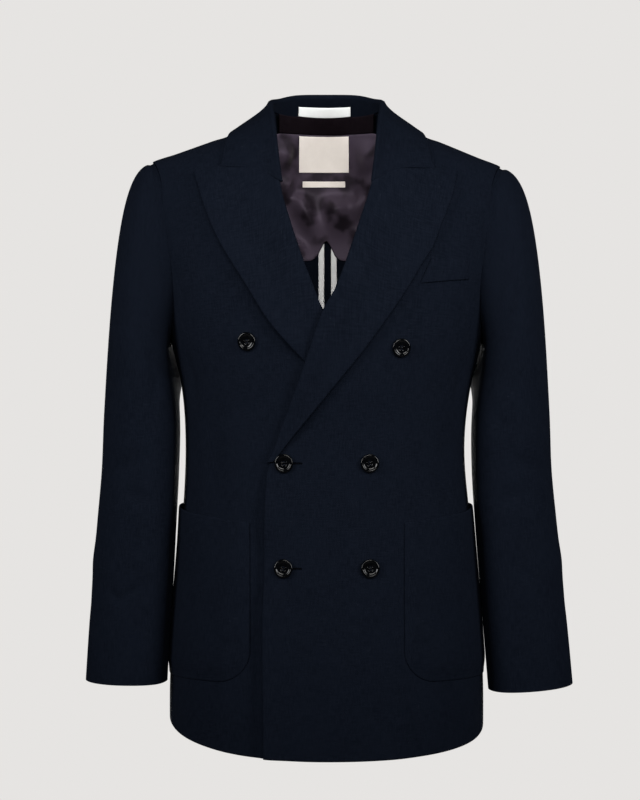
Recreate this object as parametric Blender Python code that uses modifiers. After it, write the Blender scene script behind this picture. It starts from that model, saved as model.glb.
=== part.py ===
"""Double breasted blazer with peak lapels and patch pockets, in the hollow form it takes when worn.

Units are metres, +Z is up and the front faces -Y. The wearer's left is +X. The origin is at the base
of the neck, where the wearer's shoulders hold the garment. Every cloth piece is a wall laid on one
body surface or on a sleeve surface, so that neighbouring pieces meet with an even gap.

A place on the body is a pair: a turn of 0 at the centre front, 1 at the side and 2 at the centre back
(negative on the wearer's right), and a level, 0 at the armpit, below it in metres down, above it the
way up over the chest to the shoulder seam.
"""

import math

import bmesh
import bpy
from mathutils import Matrix, Vector

# Cloth
CLOTH = 0.002
SATIN = 0.001
INSIDE = 0.0008
SEAM = 0.0003
LAID = 0.0008

# Body
ARMPIT = -0.262
YOKE = 0.24
SHOULDER_HALF_WIDTH = 0.23
SHOULDER_TILT = 0.014
SQUARENESS = 2.5
FULLNESS = {"front": 0.006, "back": 0.015}
FRONT_HEM = -0.738
SIDE_HEM = {"left": -0.704, "right": -0.700}
BACK_HEM = -0.700
FRONT_HEM_ROUNDNESS = {"left": 0.59, "right": 0.93}
HEM_FADE = 0.16
FRONT_SEAM = 0.82
BACK_SEAM = 1.19
BACK_SPLIT = 7 / 11
BACK_ROWS = 28
BINDING_ROWS = 18
SEAM_TURN = 0.0009
LOW_ROWS = 0.25
JOIN_ROWS = 0.5625
ROW_CHANGE = -0.425
NECK_HALF_WIDTH = 0.066
NECK_HEIGHT = 0.020

# Double breasted overlap of the left front
OVERLAP_LIFT = 0.0027
LAPEL_LIFT = 0.0036
FOLD_GAP = 0.0008
FOLD_INSET = 0.0034
BREAK_HEIGHT = -0.395

# Lapels: the roll over the front's edge, and the columns round it, over the leaf and past the notch
LAPEL_ROLL = 0.0006
LAPEL_COLUMNS = (4, 6, 2)
LAPEL_SPRING = 0.0007
LOWER_FOLD_GAP = 2.2

# Gorge, where the collar meets the lapels
NOTCH = {"left": (0.1270, -0.0575), "right": (0.1250, -0.0558)}
GORGE_PEAK = 0.36
GORGE_ROUNDNESS = (0.20, 0.14)
GORGE_RISE = 0.0105
GORGE_GAP = 0.0012
LAST_NOTCH = 0.85

# Sleeves
CAP_END = -0.300
CAP_ROWS = 8
ARM_ROWS = 11
SLEEVE_COLUMNS = {"top": 11, "under": 5}
HEAD_CLEARANCE = 0.0018
HEAD_LIFT = 0.0026
HEAD_FULLNESS = {"left": 1.07, "right": 1.0}
CUFF_HEIGHT = {"left": -0.6638, "right": -0.6567}
CUFF_TILT = {"left": 0.0035, "right": 0.0005}
CUFF_BOW = 0.003
FRONT_SLEEVE_SEAM = 138.0
BACK_SLEEVE_SEAM = 242.0
SLEEVE_SEAM_TURN = 0.14

# Pockets
POCKET_FRONT = 0.088
POCKET_SIDE_TURN = 1.04
POCKET_WIDTH = 0.175
POCKET_TOP = {"front": -0.4675, "side": -0.4500}
POCKET_BOTTOM = -0.650
POCKET_CORNER = 0.036
WELT_CLOTH = 0.0016
WELT_FOOT = ((0.1060, -0.1925), (0.1650, -0.1860))
WELT_MOUTH = ((0.1190, -0.1635), (0.1610, -0.1610))

# Inside of the back neck
LABEL_CLOTH = 0.0007
FACING_HALF_WIDTH = 0.060
FACING_LOW = 0.0025
FACING_TOP = 0.0188
LINING_HALF_WIDTH = 0.150
LINING_HEM = -0.1525
LINING_SPLIT = 0.025
LINING_TOP = {"middle": 0.0020, "side": -0.0300}
OFF_THE_SEAM = {"facing": 0.0020, "lining": 0.0016}
LABEL_EDGES = (-0.0345, 0.0285, -0.0430, 0.0005)
STRIP_EDGES = (-0.0300, 0.0240, -0.0610, -0.0536)
BINDING_EDGES = {"right": (-0.0097, -0.0025), "left": (0.0060, 0.0132)}
HANGER_ENDS = (-0.1782, 0.1518)
HANGER_COLUMNS = (0.20, 1.20)

# Buttons
BUTTON_RADIUS = 0.01075
BUTTON_HEIGHT = 0.0042
BUTTON_SIDES = 20


def table(columns, *rows):
    """Rows under named columns, as one list for each name."""
    return {name: [row[i] for row in rows] for i, name in enumerate(columns.split())}


# Outside of the body below the armpit, by height
BODY = table(
    "height  half_width  front   back",
    (-0.745, 0.1870, 0.1390, 0.1240),
    (-0.660, 0.1870, 0.1350, 0.1230),
    (-0.600, 0.1835, 0.1300, 0.1200),
    (-0.520, 0.1770, 0.1230, 0.1070),
    (-0.450, 0.1710, 0.1180, 0.0950),
    (-0.380, 0.1685, 0.1165, 0.0900),
    (-0.318, 0.1722, 0.1190, 0.1000),
    (-0.262, 0.1840, 0.1225, 0.1140),
)

# Shoulder line from the middle of the neck to the tip, inside the cloth
RIDGE = table(
    "across  height",
    (-0.030, 0.0670),
    (0.000, 0.0870),
    (0.030, 0.0670),
    (0.066, 0.0200),
    (0.092, 0.0020),
    (0.118, -0.0130),
    (0.134, -0.0183),
    (0.150, -0.0243),
    (0.180, -0.0357),
    (0.208, -0.0458),
    (0.235, -0.0620),
)

# Armhole by degrees round it, from the shoulder tip down to the armpit: the body's turn
ARMHOLE = table(
    "round  front   back",
    (0.0, 0.719, 1.281),
    (45.0, 0.673, 1.290),
    (90.0, 0.690, 1.262),
    (120.0, 0.732, 1.200),
    (150.0, 0.835, 1.110),
    (180.0, 1.000, 1.000),
)

# Outer edge of each front by height: the fold of its lapel, then the edge below
# it. Each is measured from the middle towards that front's own side.
EDGE = table(
    "height   left     right",
    (-0.7450, -0.0702, -0.0680),
    (-0.5535, -0.0708, -0.0680),
    (-0.4170, -0.0680, -0.0675),
    (-0.3990, -0.0655, -0.0645),
    (-0.3790, -0.0590, -0.0585),
    (-0.3380, -0.0440, -0.0430),
    (-0.2830, -0.0250, -0.0195),
    (-0.2260, -0.0055, 0.0035),
    (-0.2000, 0.0090, 0.0135),
    (-0.1590, 0.0245, 0.0290),
    (-0.0990, 0.0440, 0.0480),
    (-0.0745, 0.0510, 0.0530),
    (-0.0140, 0.0590, 0.0605),
    (0.0200, 0.0631, 0.0631),
)

# Lapels from the lower end up to the gorge: where each row leaves the fold, and its outer edge
LEFT_LAPEL = table(
    "row  fold     across   height",
    (0, -0.3980, -0.0600, -0.3975),
    (1, -0.3790, -0.0455, -0.3740),
    (2, -0.3380, -0.0247, -0.3515),
    (3, -0.2830, 0.0118, -0.3060),
    (4, -0.2260, 0.0560, -0.2490),
    (5, -0.1590, 0.1020, -0.1800),
    (6, -0.1050, 0.1370, -0.1090),
    (7, -0.0745, 0.1520, -0.0605),
)
RIGHT_LAPEL = table(
    "row  fold     across   height",
    (0, -0.2700, 0.0080, -0.3000),
    (1, -0.2210, 0.0400, -0.2660),
    (2, -0.1885, 0.0660, -0.2350),
    (3, -0.1530, 0.0900, -0.1960),
    (4, -0.1070, 0.1270, -0.1330),
    (5, -0.0745, 0.1540, -0.0605),
)

# Collar from the centre back (0) past the shoulder seam (0.5) to the gorge (1): its
# visible fold, the plan of its outer edge, the neck seam's height and the fold's radius
COLLAR = table(
    "along fold_x  fold_y   fold_z   edge_x  edge_y   neck_z   radius",
    (-0.18, -0.0360, 0.0560, 0.0470, -0.0480, 0.0820, 0.0200, 0.0020),
    (0.00, 0.0000, 0.0640, 0.0485, 0.0000, 0.0960, 0.0200, 0.0020),
    (0.18, 0.0360, 0.0560, 0.0470, 0.0480, 0.0820, 0.0200, 0.0020),
    (0.34, 0.0560, 0.0340, 0.0400, 0.0860, 0.0460, 0.0200, 0.0020),
    (0.50, 0.0662, 0.0040, 0.0335, 0.1095, 0.0060, 0.0200, 0.0018),
    (0.60, 0.0654, -0.0220, 0.0250, 0.1150, -0.0200, 0.0160, 0.0015),
    (0.70, 0.0630, -0.0460, 0.0120, 0.1175, -0.0340, 0.0020, 0.0012),
    (0.80, 0.0600, -0.0710, -0.0100, 0.1195, -0.0450, -0.0180, 0.0010),
    (0.90, 0.0560, -0.0905, -0.0420, 0.1220, -0.0540, -0.0460, 0.0008),
    (1.00, 0.0512, -0.1030, -0.0745, 0.1250, -0.0620, -0.0745, 0.0006),
)

# Columns of the collar: up the stand, over the fold and down the leaf
COLLAR_COLUMNS = (2, 4, 5)

# How a sleeve leaves the armhole, by degrees round it: the angle away from
# the body's surface, and the lengths of the curve's two ends
SLEEVE_HEAD = table(
    "round  angle  start  end",
    (0.0, 20.0, 0.034, 0.175),
    (45.0, 36.0, 0.035, 0.140),
    (90.0, 60.0, 0.030, 0.080),
    (135.0, 112.0, 0.016, 0.030),
    (180.0, 178.0, 0.010, 0.012),
)

# Outside of the sleeves by height: across from the middle on each side, and front to back
SLEEVE = table(
    "height left_in left_out right_in right_out front   back",
    (-0.680, 0.1900, 0.2945, 0.1872, 0.2880, -0.0760, -0.0020),
    (-0.610, 0.1850, 0.2890, 0.1842, 0.2845, -0.0730, 0.0130),
    (-0.540, 0.1800, 0.2830, 0.1802, 0.2805, -0.0700, 0.0300),
    (-0.470, 0.1752, 0.2765, 0.1772, 0.2755, -0.0690, 0.0470),
    (-0.410, 0.1720, 0.2712, 0.1746, 0.2708, -0.0700, 0.0590),
    (-0.350, 0.1722, 0.2692, 0.1738, 0.2685, -0.0730, 0.0660),
    (-0.290, 0.1797, 0.2660, 0.1802, 0.2650, -0.0780, 0.0710),
)

# Largest creases of the sleeves: degrees round, height, spread each way, depth, and lean
SLEEVE_CREASES = table(
    "round  height  wide   tall   depth    lean",
    (70.0, -0.405, 26.0, 0.012, -0.0030, 0.35),
    (95.0, -0.440, 22.0, 0.010, -0.0024, -0.30),
    (255.0, -0.395, 30.0, 0.016, -0.0026, 0.25),
    (330.0, -0.580, 28.0, 0.014, -0.0022, 0.40),
    (30.0, -0.520, 34.0, 0.018, 0.0020, -0.25),
    (128.0, -0.450, 25.0, 0.260, 0.0090, 0.0),
    (215.0, -0.290, 26.0, 0.036, 0.0080, 0.0),
)

# Soft folds of the body: turn, height, spread each way, and depth
BODY_FOLDS = table(
    "turn    height  wide   tall   depth",
    (-0.560, -0.395, 0.070, 0.045, -0.0022),
    (0.620, -0.400, 0.070, 0.050, -0.0020),
    (0.600, -0.455, 0.100, 0.030, 0.0022),
    (-0.420, -0.600, 0.060, 0.120, 0.0018),
    (1.450, -0.370, 0.120, 0.040, -0.0025),
    (-1.450, -0.370, 0.120, 0.040, -0.0025),
    (1.650, -0.560, 0.070, 0.110, 0.0030),
    (-1.600, -0.560, 0.080, 0.120, 0.0026),
    (0.980, -0.385, 0.260, 0.065, -0.0036),
)

# Soft waves of the half lining: centre, width and depth across the back
LINING_WAVES = table(
    "across  wide   depth",
    (-0.120, 0.014, 0.0018),
    (-0.078, 0.010, 0.0022),
    (-0.046, 0.006, 0.0020),
    (0.046, 0.006, 0.0022),
    (0.080, 0.011, 0.0018),
    (0.122, 0.014, 0.0016),
)

# Buttons from the top row down: the first two hang on nothing, the other four close the front
BUTTONS = table(
    "name  across   height  side  seat",
    (1, -0.0910, -0.2590, "right", 0.0000),
    (2, 0.0840, -0.2660, "left", 0.0008),
    (3, -0.0485, -0.3990, "left", 0.0003),
    (4, 0.0485, -0.3990, "left", 0.0003),
    (5, -0.0490, -0.5195, "left", 0.0003),
    (6, 0.0490, -0.5195, "left", 0.0003),
)

# Colour, roughness and metallic value
FINISHES = {
    "cloth": ((0.0048, 0.0068, 0.0125), 0.80, 0.0),
    "satin": ((0.0210, 0.0170, 0.0230), 0.32, 0.0),
    "label": ((0.7300, 0.6700, 0.6200), 0.75, 0.0),
    "tape": ((0.7900, 0.8000, 0.7900), 0.70, 0.0),
    "binding": ((0.5500, 0.5500, 0.5500), 0.55, 0.0),
    "resin": ((0.0060, 0.0065, 0.0080), 0.22, 0.0),
}


def lerp(a, b, share):
    return a + (b - a) * share


def ease(low, high, value):
    """0 below low, 1 above high and an S curve between."""
    share = min(max((value - low) / (high - low), 0.0), 1.0)
    return share * share * (3 - 2 * share)


def bell(distance, spread):
    return math.exp(-((distance / spread) ** 2))


def smooth(rows, column, at):
    """The column's value where the first column has this value, on a curve through the rows."""
    keys = next(iter(rows.values()))
    values = rows[column]
    last = len(keys) - 1
    i = 0
    while i < last - 1 and at > keys[i + 1]:
        i += 1
    span = keys[i + 1] - keys[i]
    share = (at - keys[i]) / span

    def slope(k):
        low = max(k - 1, 0)
        high = min(k + 1, last)
        return (values[high] - values[low]) / (keys[high] - keys[low]) * span

    if share < 0:
        return values[0] + slope(0) * share
    if share > 1:
        return values[last] + slope(last) * (share - 1)
    square = share * share
    cube = square * share
    return (
        values[i] * (2 * cube - 3 * square + 1)
        + values[i + 1] * (3 * square - 2 * cube)
        + slope(i) * (cube - 2 * square + share)
        + slope(i + 1) * (cube - square)
    )


def bezier(points, share):
    """A point on the cubic curve with these four control points."""
    rest = 1 - share
    weights = (rest**3, 3 * rest**2 * share, 3 * rest * share**2, share**3)
    return sum((point * weight for point, weight in zip(points, weights)), Vector())


# The body surface: the inner face of the cloth


def climb(level):
    """The angle over the chest: 0 at the armpit, a quarter turn at the shoulder seam."""
    return max(level, 0.0) / YOKE * math.pi / 2


def half_width(level):
    if level <= 0:
        return smooth(BODY, "half_width", ARMPIT + level) - CLOTH
    armpit = smooth(BODY, "half_width", ARMPIT) - CLOTH
    return lerp(armpit, SHOULDER_HALF_WIDTH, math.sin(climb(level)))


def depth(level, facing):
    if level <= 0:
        return smooth(BODY, facing, ARMPIT + level) - CLOTH
    armpit = smooth(BODY, facing, ARMPIT) - CLOTH
    angle = climb(level)
    return armpit * math.cos(angle) + FULLNESS[facing] * math.sin(2 * angle)


def ridge(across):
    tilt = SHOULDER_TILT * ease(NECK_HALF_WIDTH, SHOULDER_HALF_WIDTH, abs(across))
    return smooth(RIDGE, "height", abs(across)) - tilt * across


def height_at(across, level):
    if level <= 0:
        return ARMPIT + level
    return ARMPIT + math.sin(climb(level)) * (ridge(across) - ARMPIT)


def body_fold(turn, height):
    total = 0.0
    for at, level, wide, tall, deep in zip(*BODY_FOLDS.values()):
        total += deep * bell(turn - at, wide) * bell(height - level, tall)
    return total


def body(turn, level):
    """The point of the body surface at this turn and level."""
    angle = turn * math.pi / 2
    sideways = math.sin(angle)
    x = half_width(level) * sideways
    along = (1 - min(abs(sideways), 1.0) ** SQUARENESS) ** (1 / SQUARENESS)
    facing = "front" if math.cos(angle) >= 0 else "back"
    direction = -along if facing == "front" else along
    z = height_at(x, level)
    fold = body_fold(turn, z)
    return Vector((x + fold * sideways, (depth(level, facing) + fold) * direction, z))


def outward(turn, level):
    """The body surface's unit normal."""
    step_turn, step_level = 0.003, 0.0008
    around = body(turn + step_turn, level) - body(turn - step_turn, level)
    up = body(turn, level + step_level) - body(turn, level - step_level)
    return around.cross(up).normalized()


def on_body(turn, level, height):
    """A point this high above the body surface."""
    return body(turn, level) + outward(turn, level) * height


def station(x, z, facing="front"):
    """The turn and level of the body point at this width and height."""
    share = (z - ARMPIT) / (ridge(x) - ARMPIT)
    level = z - ARMPIT
    if share > 0:
        level = YOKE * math.asin(min(share, 1.0)) * 2 / math.pi
    turn = math.asin(max(min(x / half_width(level), 1.0), -1.0)) * 2 / math.pi
    if facing == "back":
        turn = math.copysign(2, x) - turn
    return turn, level


def over_shoulder(x, y):
    """The turn and level of the upper body point straight above this place in plan."""
    facing = "front" if y < 0 else "back"
    low, high = 0.0, YOKE
    for _ in range(30):
        level = (low + high) / 2
        sideways = min(abs(x) / half_width(level), 1.0)
        reach = depth(level, facing) * (1 - sideways**SQUARENESS) ** (1 / SQUARENESS)
        if reach > abs(y):
            low = level
        else:
            high = level
    turn = math.asin(max(min(x / half_width(level), 1.0), -1.0)) * 2 / math.pi
    if facing == "back":
        turn = math.copysign(2, x) - turn
    return turn, level


def clear_of_body(point, height):
    """The point, moved out where it is nearer than this height to the body surface."""
    facing = "front" if point.y < 0 else "back"
    turn, level = station(point.x, min(point.z, ridge(point.x) - 0.003), facing)
    for _ in range(8):
        near = body(turn, level)
        around = (body(turn + 0.002, level) - near) / 0.002
        up = (body(turn, level + 0.001) - near) / 0.001
        gap = point - near
        aa, uu, au = around.dot(around), up.dot(up), around.dot(up)
        ag, ug = around.dot(gap), up.dot(gap)
        whole = aa * uu - au * au
        turn += 0.8 * (ag * uu - ug * au) / whole
        level = min(level + 0.8 * (ug * aa - ag * au) / whole, YOKE - 0.001)
    normal = outward(turn, level)
    distance = (point - body(turn, level)).dot(normal)
    return point + normal * max(height - distance, 0.0)


def hem_level(turn):
    """The level of the hem at this turn."""
    facing = math.cos(turn * math.pi / 2)
    side = "left" if turn > 0 else "right"
    if facing >= 0:
        share = facing ** FRONT_HEM_ROUNDNESS[side]
        return lerp(SIDE_HEM[side], FRONT_HEM, share) - ARMPIT
    return lerp(SIDE_HEM[side], BACK_HEM, -facing) - ARMPIT


# Making the pieces


def finish(name):
    found = bpy.data.materials.get(name)
    if found:
        return found
    colour, roughness, metallic = FINISHES[name]
    made = bpy.data.materials.new(name)
    made.use_nodes = True
    shader = made.node_tree.nodes["Principled BSDF"]
    shader.inputs["Base Color"].default_value = (*colour, 1)
    shader.inputs["Roughness"].default_value = roughness
    shader.inputs["Metallic"].default_value = metallic
    made.diffuse_color = (*colour, 1)
    return made


def place(name, mesh, finish_name):
    mesh.shade_smooth()
    mesh.set_sharp_from_angle(angle=math.radians(50))
    mesh.materials.append(finish(finish_name))
    made = bpy.data.objects.new(name, mesh)
    BLAZER.objects.link(made)
    return made


def cloth(name, columns, rows, lay, finish_name="cloth"):
    """A wall of cloth: lay(u, v) gives the two faces' points for u and v from 0 to 1."""
    work = bmesh.new()
    bmesh.ops.create_grid(work, x_segments=columns, y_segments=rows, size=0.5)
    faces = [lay(v.co.x + 0.5, v.co.y + 0.5) for v in work.verts]
    first = list(work.verts)
    for vert, (inner, outer) in zip(first, faces):
        vert.co = outer
    made = bmesh.ops.extrude_face_region(work, geom=work.faces[:], use_keep_orig=True)
    copies = {tuple(v.co): v for v in made["geom"] if isinstance(v, bmesh.types.BMVert)}
    for vert, (inner, outer) in zip(first, faces):
        copies[tuple(vert.co)].co = inner
    bmesh.ops.recalc_face_normals(work, faces=work.faces[:])
    if work.calc_volume(signed=True) < 0:
        bmesh.ops.reverse_faces(work, faces=work.faces[:])
    mesh = bpy.data.meshes.new(name)
    work.to_mesh(mesh)
    work.free()
    return place(name, mesh, finish_name)


def wall(turn, level, low=0.0, high=CLOTH):
    """The two faces of a wall between these heights above the body surface."""
    point = body(turn, level)
    normal = outward(turn, level)
    return point + normal * low, point + normal * high


# Fronts, sides and back


def overlap_lift(x, z):
    """How far the left front is held out by the right front and its lapel underneath."""
    under = 1 - ease(-0.20, -0.12, z)
    front = OVERLAP_LIFT * (1 - ease(0.074, 0.112, x))
    lapel = LAPEL_LIFT * (1 - ease(0.030, 0.090, x)) * ease(-0.37, -0.305, z)
    return under * (front + lapel)


def lift(side, x, z):
    return overlap_lift(x, z) if side == "left" else 0.0


def sign(side):
    return 1 if side == "left" else -1


def cloth_edge(side, z):
    """Where a front's cloth ends, measured towards its own side."""
    inset = FOLD_INSET * ease(BREAK_HEIGHT - 0.020, BREAK_HEIGHT + 0.016, z)
    return smooth(EDGE, side, z) + inset


def armhole_turn(facing, level):
    share = math.sin(climb(level))
    return smooth(ARMHOLE, facing, math.degrees(math.acos(2 * share - 1)))


def seam_join(facing, seam):
    """The level at which the side seam runs into the armhole."""
    low, high = 0.0, YOKE / 2
    for _ in range(30):
        level = (low + high) / 2
        inside = armhole_turn(facing, level)
        if (inside > seam) == (facing == "front"):
            low = level
        else:
            high = level
    return level


def level_at(v, low, middle, join, top):
    """Levels whose rows are close over the chest and wide above the hem."""
    if v < LOW_ROWS:
        return lerp(low, middle, v / LOW_ROWS)
    if v < JOIN_ROWS:
        return lerp(middle, join, (v - LOW_ROWS) / (JOIN_ROWS - LOW_ROWS))
    return lerp(join, top, (v - JOIN_ROWS) / (1 - JOIN_ROWS))


def hemmed(level, turn, reference):
    """The level, moved so that the lowest row follows the hem."""
    base = hem_level(reference)
    fade = max(1 - (level - base) / HEM_FADE, 0.0) ** 2
    return level + (hem_level(turn) - base) * fade


def front(side):
    join = seam_join("front", FRONT_SEAM)

    def lay(u, v):
        level = level_at(v, hem_level(0), ROW_CHANGE - ARMPIT, join, YOKE - SEAM)
        x = 0.0
        for _ in range(10):
            x = cloth_edge(side, height_at(sign(side) * x, level))
        inner = math.asin(x / half_width(level)) * 2 / math.pi
        outer = FRONT_SEAM - SEAM_TURN
        if level > join:
            outer = armhole_turn("front", level) - SEAM_TURN
        turn = lerp(inner, outer, u)
        level = hemmed(level, sign(side) * turn, 0)
        point = body(turn, level)
        held_out = lift(side, point.x, point.z)
        return wall(sign(side) * turn, level, held_out, held_out + CLOTH)

    cloth(f"front_{side}", 13, 32, lay)


def side_body(side):
    def lay(u, v):
        turn = lerp(FRONT_SEAM + SEAM_TURN, BACK_SEAM - SEAM_TURN, u)
        facing = "front" if turn < 1 else "back"
        low, high = 90.0, 180.0
        for _ in range(30):
            round_ = (low + high) / 2
            inside = smooth(ARMHOLE, facing, round_)
            if (inside < turn) == (facing == "front"):
                low = round_
            else:
                high = round_
        share = (1 + math.cos(math.radians(round_))) / 2
        top = YOKE * math.asin(share) * 2 / math.pi
        turn *= sign(side)
        return wall(turn, lerp(hem_level(turn), top - SEAM, v))

    cloth(f"side_{side}", 5, 19, lay)


def neck_level(turn):
    """The level of the back neck seam at this turn."""
    low, high = 0.0, YOKE - SEAM
    for _ in range(30):
        level = (low + high) / 2
        point = body(turn, level)
        if point.z < NECK_HEIGHT:
            low = level
        else:
            high = level
    return level


def back(side):
    join = seam_join("back", BACK_SEAM)
    neck = 2 - math.asin(NECK_HALF_WIDTH / SHOULDER_HALF_WIDTH) * 2 / math.pi
    middle = 2 - SEAM_TURN

    def lay(u, v):
        level = level_at(v, hem_level(2), ROW_CHANGE - ARMPIT, join, YOKE - SEAM)
        outer = BACK_SEAM + SEAM_TURN
        if level > join:
            outer = armhole_turn("back", level) + SEAM_TURN
        if u < BACK_SPLIT:
            turn = lerp(outer, neck, u / BACK_SPLIT)
            top = YOKE - SEAM
        else:
            turn = lerp(neck, middle, (u - BACK_SPLIT) / (1 - BACK_SPLIT))
            top = neck_level(turn)
        turn *= sign(side)
        level = level_at(v, hem_level(2), ROW_CHANGE - ARMPIT, join, top)
        return wall(turn, hemmed(level, turn, 2))

    cloth(f"back_{side}", 11, BACK_ROWS, lay)


# Lapels, which turn over the edge of each front


def turned(share, gap, radius):
    """A cloth turned half round an edge: how far over the edge and how high its two faces are."""
    angle = share * math.pi
    over = -gap - radius * math.sin(angle)
    high = CLOTH + radius - radius * math.cos(angle)
    return (over, high), (over - CLOTH * math.sin(angle), high - CLOTH * math.cos(angle))


def gorge_bend(share):
    """The gorge's rise above a straight line from the fold (0) to the notch (1)."""
    if not 0 < share < 1:
        return 0.0
    away = share / GORGE_PEAK if share < GORGE_PEAK else (1 - share) / (1 - GORGE_PEAK)
    blunt, spread = GORGE_ROUNDNESS
    return GORGE_RISE * away * (1 - blunt * bell(share - GORGE_PEAK, spread))


def lapel(side, rows, row_count):
    last = rows["row"][-1]
    wrap, over_notch, past_notch = LAPEL_COLUMNS
    columns = wrap + over_notch + past_notch

    def lay(u, v):
        row = v * last
        fold = smooth(rows, "fold", row)
        start = Vector((cloth_edge(side, fold), fold))
        end = Vector((smooth(rows, "across", row), smooth(rows, "height", row)))
        along = (end - start).normalized()
        length = (end - start).length
        column = u * columns
        corner = Vector(NOTCH[side])
        notch = (corner - start).length / length
        share = 0.0
        if column <= wrap:
            gap = FOLD_GAP * lerp(LOWER_FOLD_GAP, 1, ease(0, 2.0, row))
            low, high = turned(column / wrap, gap, LAPEL_ROLL)
        else:
            near = lerp(1.0, notch / (over_notch / (over_notch + past_notch)), ease(0.6, 1, v))
            share = (column - wrap) / (over_notch + past_notch)
            if column - wrap <= over_notch:
                share *= near
            else:
                rest = (column - wrap - over_notch) / past_notch
                share = lerp(over_notch / (over_notch + past_notch) * near, 1, rest)
            over = share * length
            soft = LAID + (2 * LAPEL_ROLL - LAID) * bell(over, 0.02)
            soft += LAPEL_SPRING * ease(0.45, 0.9, share)
            low = (over, CLOTH + soft)
            high = (over, 2 * CLOTH + soft)

        def raised(spot):
            over, above = spot
            place_2d = start + along * over
            if v > 0.75:
                top = ease(0.75, 1, v) ** 2
                inner = min(notch, LAST_NOTCH)
                upright = corner - (start + along * (notch * length))
                place_2d += upright * (top * min(share / inner, (1 - share) / (1 - inner)))
                place_2d.y += gorge_bend(share / notch) * top - GORGE_GAP * ease(0.9, 1, v)
            turn, level = station(sign(side) * place_2d.x, place_2d.y)
            above += lift(side, place_2d.x, place_2d.y)
            return on_body(turn, level, above)

        return raised(low), raised(high)

    cloth(f"lapel_{side}", columns, row_count, lay)


# Collar, stand and leaf in one


def neck_point(side, along):
    """The outer face of the neck edge, where the collar starts."""
    z = smooth(COLLAR, "neck_z", along)
    if along <= 0.5:
        x = NECK_HALF_WIDTH * math.sin(along * math.pi)
        x = sign(side) * max(x, 1e-5)
        turn, level = station(x, min(z, ridge(x) - 1e-4), "back")
    else:
        x = sign(side) * cloth_edge(side, z)
        turn, level = station(x, min(z, ridge(x) - 1e-4))
    return on_body(turn, level, CLOTH)


def collar_frame(along):
    """The neck edge, fold, directions up the stand and outward, and the fold's radius, at this place."""
    side = "left" if along >= 0 else "right"
    share = abs(along)
    neck = neck_point(side, share)
    keys = ("fold_x", "fold_y", "fold_z")
    fold = Vector(smooth(COLLAR, key, share) for key in keys)
    ahead = Vector(smooth(COLLAR, key, share + 0.01) for key in keys)
    path = (ahead - fold).normalized()
    if share < 0.01:
        path = Vector((1, 0, 0))
    fold.x *= sign(side)
    path.x *= sign(side)
    up = (fold - neck).normalized()
    out = up.cross(path).normalized() * sign(side)
    return side, share, neck, fold, up, out, smooth(COLLAR, "radius", share)


def collar_base(column, along):
    """The hidden face of the collar: up the stand, over the fold and down the leaf."""
    stand, turn_over, leaf = COLLAR_COLUMNS
    side, share, neck, fold, up, out, radius = collar_frame(along)
    centre = fold - up * (CLOTH + radius)
    if column <= stand:
        gap = lerp(0.0010, 2 * SEAM, ease(0.9, 1.0, share))
        return lerp(neck + up * gap, centre - out * radius, column / stand)
    if column <= stand + turn_over:
        angle = (column - stand) / turn_over * math.pi
        return centre - out * (radius * math.cos(angle)) + up * (radius * math.sin(angle))
    share_down = (column - stand - turn_over) / leaf
    start = centre + out * radius
    to_notch = ease(0.8, 1, share)
    edge_x = smooth(COLLAR, "edge_x", share)
    edge_x += (NOTCH[side][0] - COLLAR["edge_x"][-1]) * to_notch
    edge_y = smooth(COLLAR, "edge_y", share)
    turn, level = over_shoulder(sign(side) * max(edge_x, 1e-5), edge_y)
    if share > 0.5:
        edge = body(turn, level)
        turn, level = station(edge.x, lerp(edge.z, NOTCH[side][1], to_notch))
    laid = CLOTH + LAID + 0.0008 * bell(share - 0.42, 0.14)
    end = on_body(turn, level, laid)
    length = (end - start).length
    spring = start - up * (0.25 * length) + out * (0.06 * length)
    points = (start, spring, lerp(end, start, 0.33), end)
    point = bezier(points, share_down)
    bend = gorge_bend(share_down) * ease(0.82, 1, share) ** 2
    point.z += bend
    point.y += 0.55 * bend
    return clear_of_body(point, laid)


def collar():
    stand, turn_over, leaf = COLLAR_COLUMNS
    columns = stand + turn_over + leaf

    def at(column, along):
        return collar_base(min(max(column, 0.0), float(columns)), min(max(along, -1.0), 1.0))

    def lay(u, v):
        along = lerp(-1, 1, v)
        column = u * columns
        base = at(column, along)
        across = at(column + 0.1, along) - at(column - 0.1, along)
        ahead = at(column, along + 0.02) - at(column, along - 0.02)
        normal = across.cross(ahead).normalized()
        return base, base - normal * CLOTH

    cloth("collar", columns, 34, lay)


# Sleeves


def armhole(side, round_):
    """A point of the armhole and the body's normal there, as if on the wearer's left."""
    round_ %= 360
    facing = "front" if round_ <= 180 else "back"
    folded = round_ if round_ <= 180 else 360 - round_
    share = (1 + math.cos(math.radians(folded))) / 2
    level = YOKE * math.asin(min(share, 0.99999)) * 2 / math.pi
    turn = sign(side) * smooth(ARMHOLE, facing, folded)
    point, normal = body(turn, level), outward(turn, level)
    point.x *= sign(side)
    normal.x *= sign(side)
    return point, normal


def sleeve_crease(round_, height):
    total = 0.0
    for at, level, wide, tall, deep, lean in zip(*SLEEVE_CREASES.values()):
        away = (round_ - at + 180) % 360 - 180
        sloped = height - level - lean * math.radians(away) * 0.05
        total += deep * bell(away, wide) * bell(sloped, tall)
    return total


def sleeve_ring(side, round_, height):
    """A point of the sleeve's inner face below the cap, as if on the wearer's left."""
    inside = smooth(SLEEVE, f"{side}_in", height) + CLOTH
    outside = smooth(SLEEVE, f"{side}_out", height) - CLOTH
    near = smooth(SLEEVE, "front", height) + CLOTH
    far = smooth(SLEEVE, "back", height) - CLOTH
    angle = math.radians(round_)
    crease = sleeve_crease(round_ % 360, height)
    x = (inside + outside) / 2 + ((outside - inside) / 2 + crease) * math.cos(angle)
    y = (near + far) / 2 - ((far - near) / 2 + crease) * math.sin(angle)
    return Vector((x, y, height))


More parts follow.
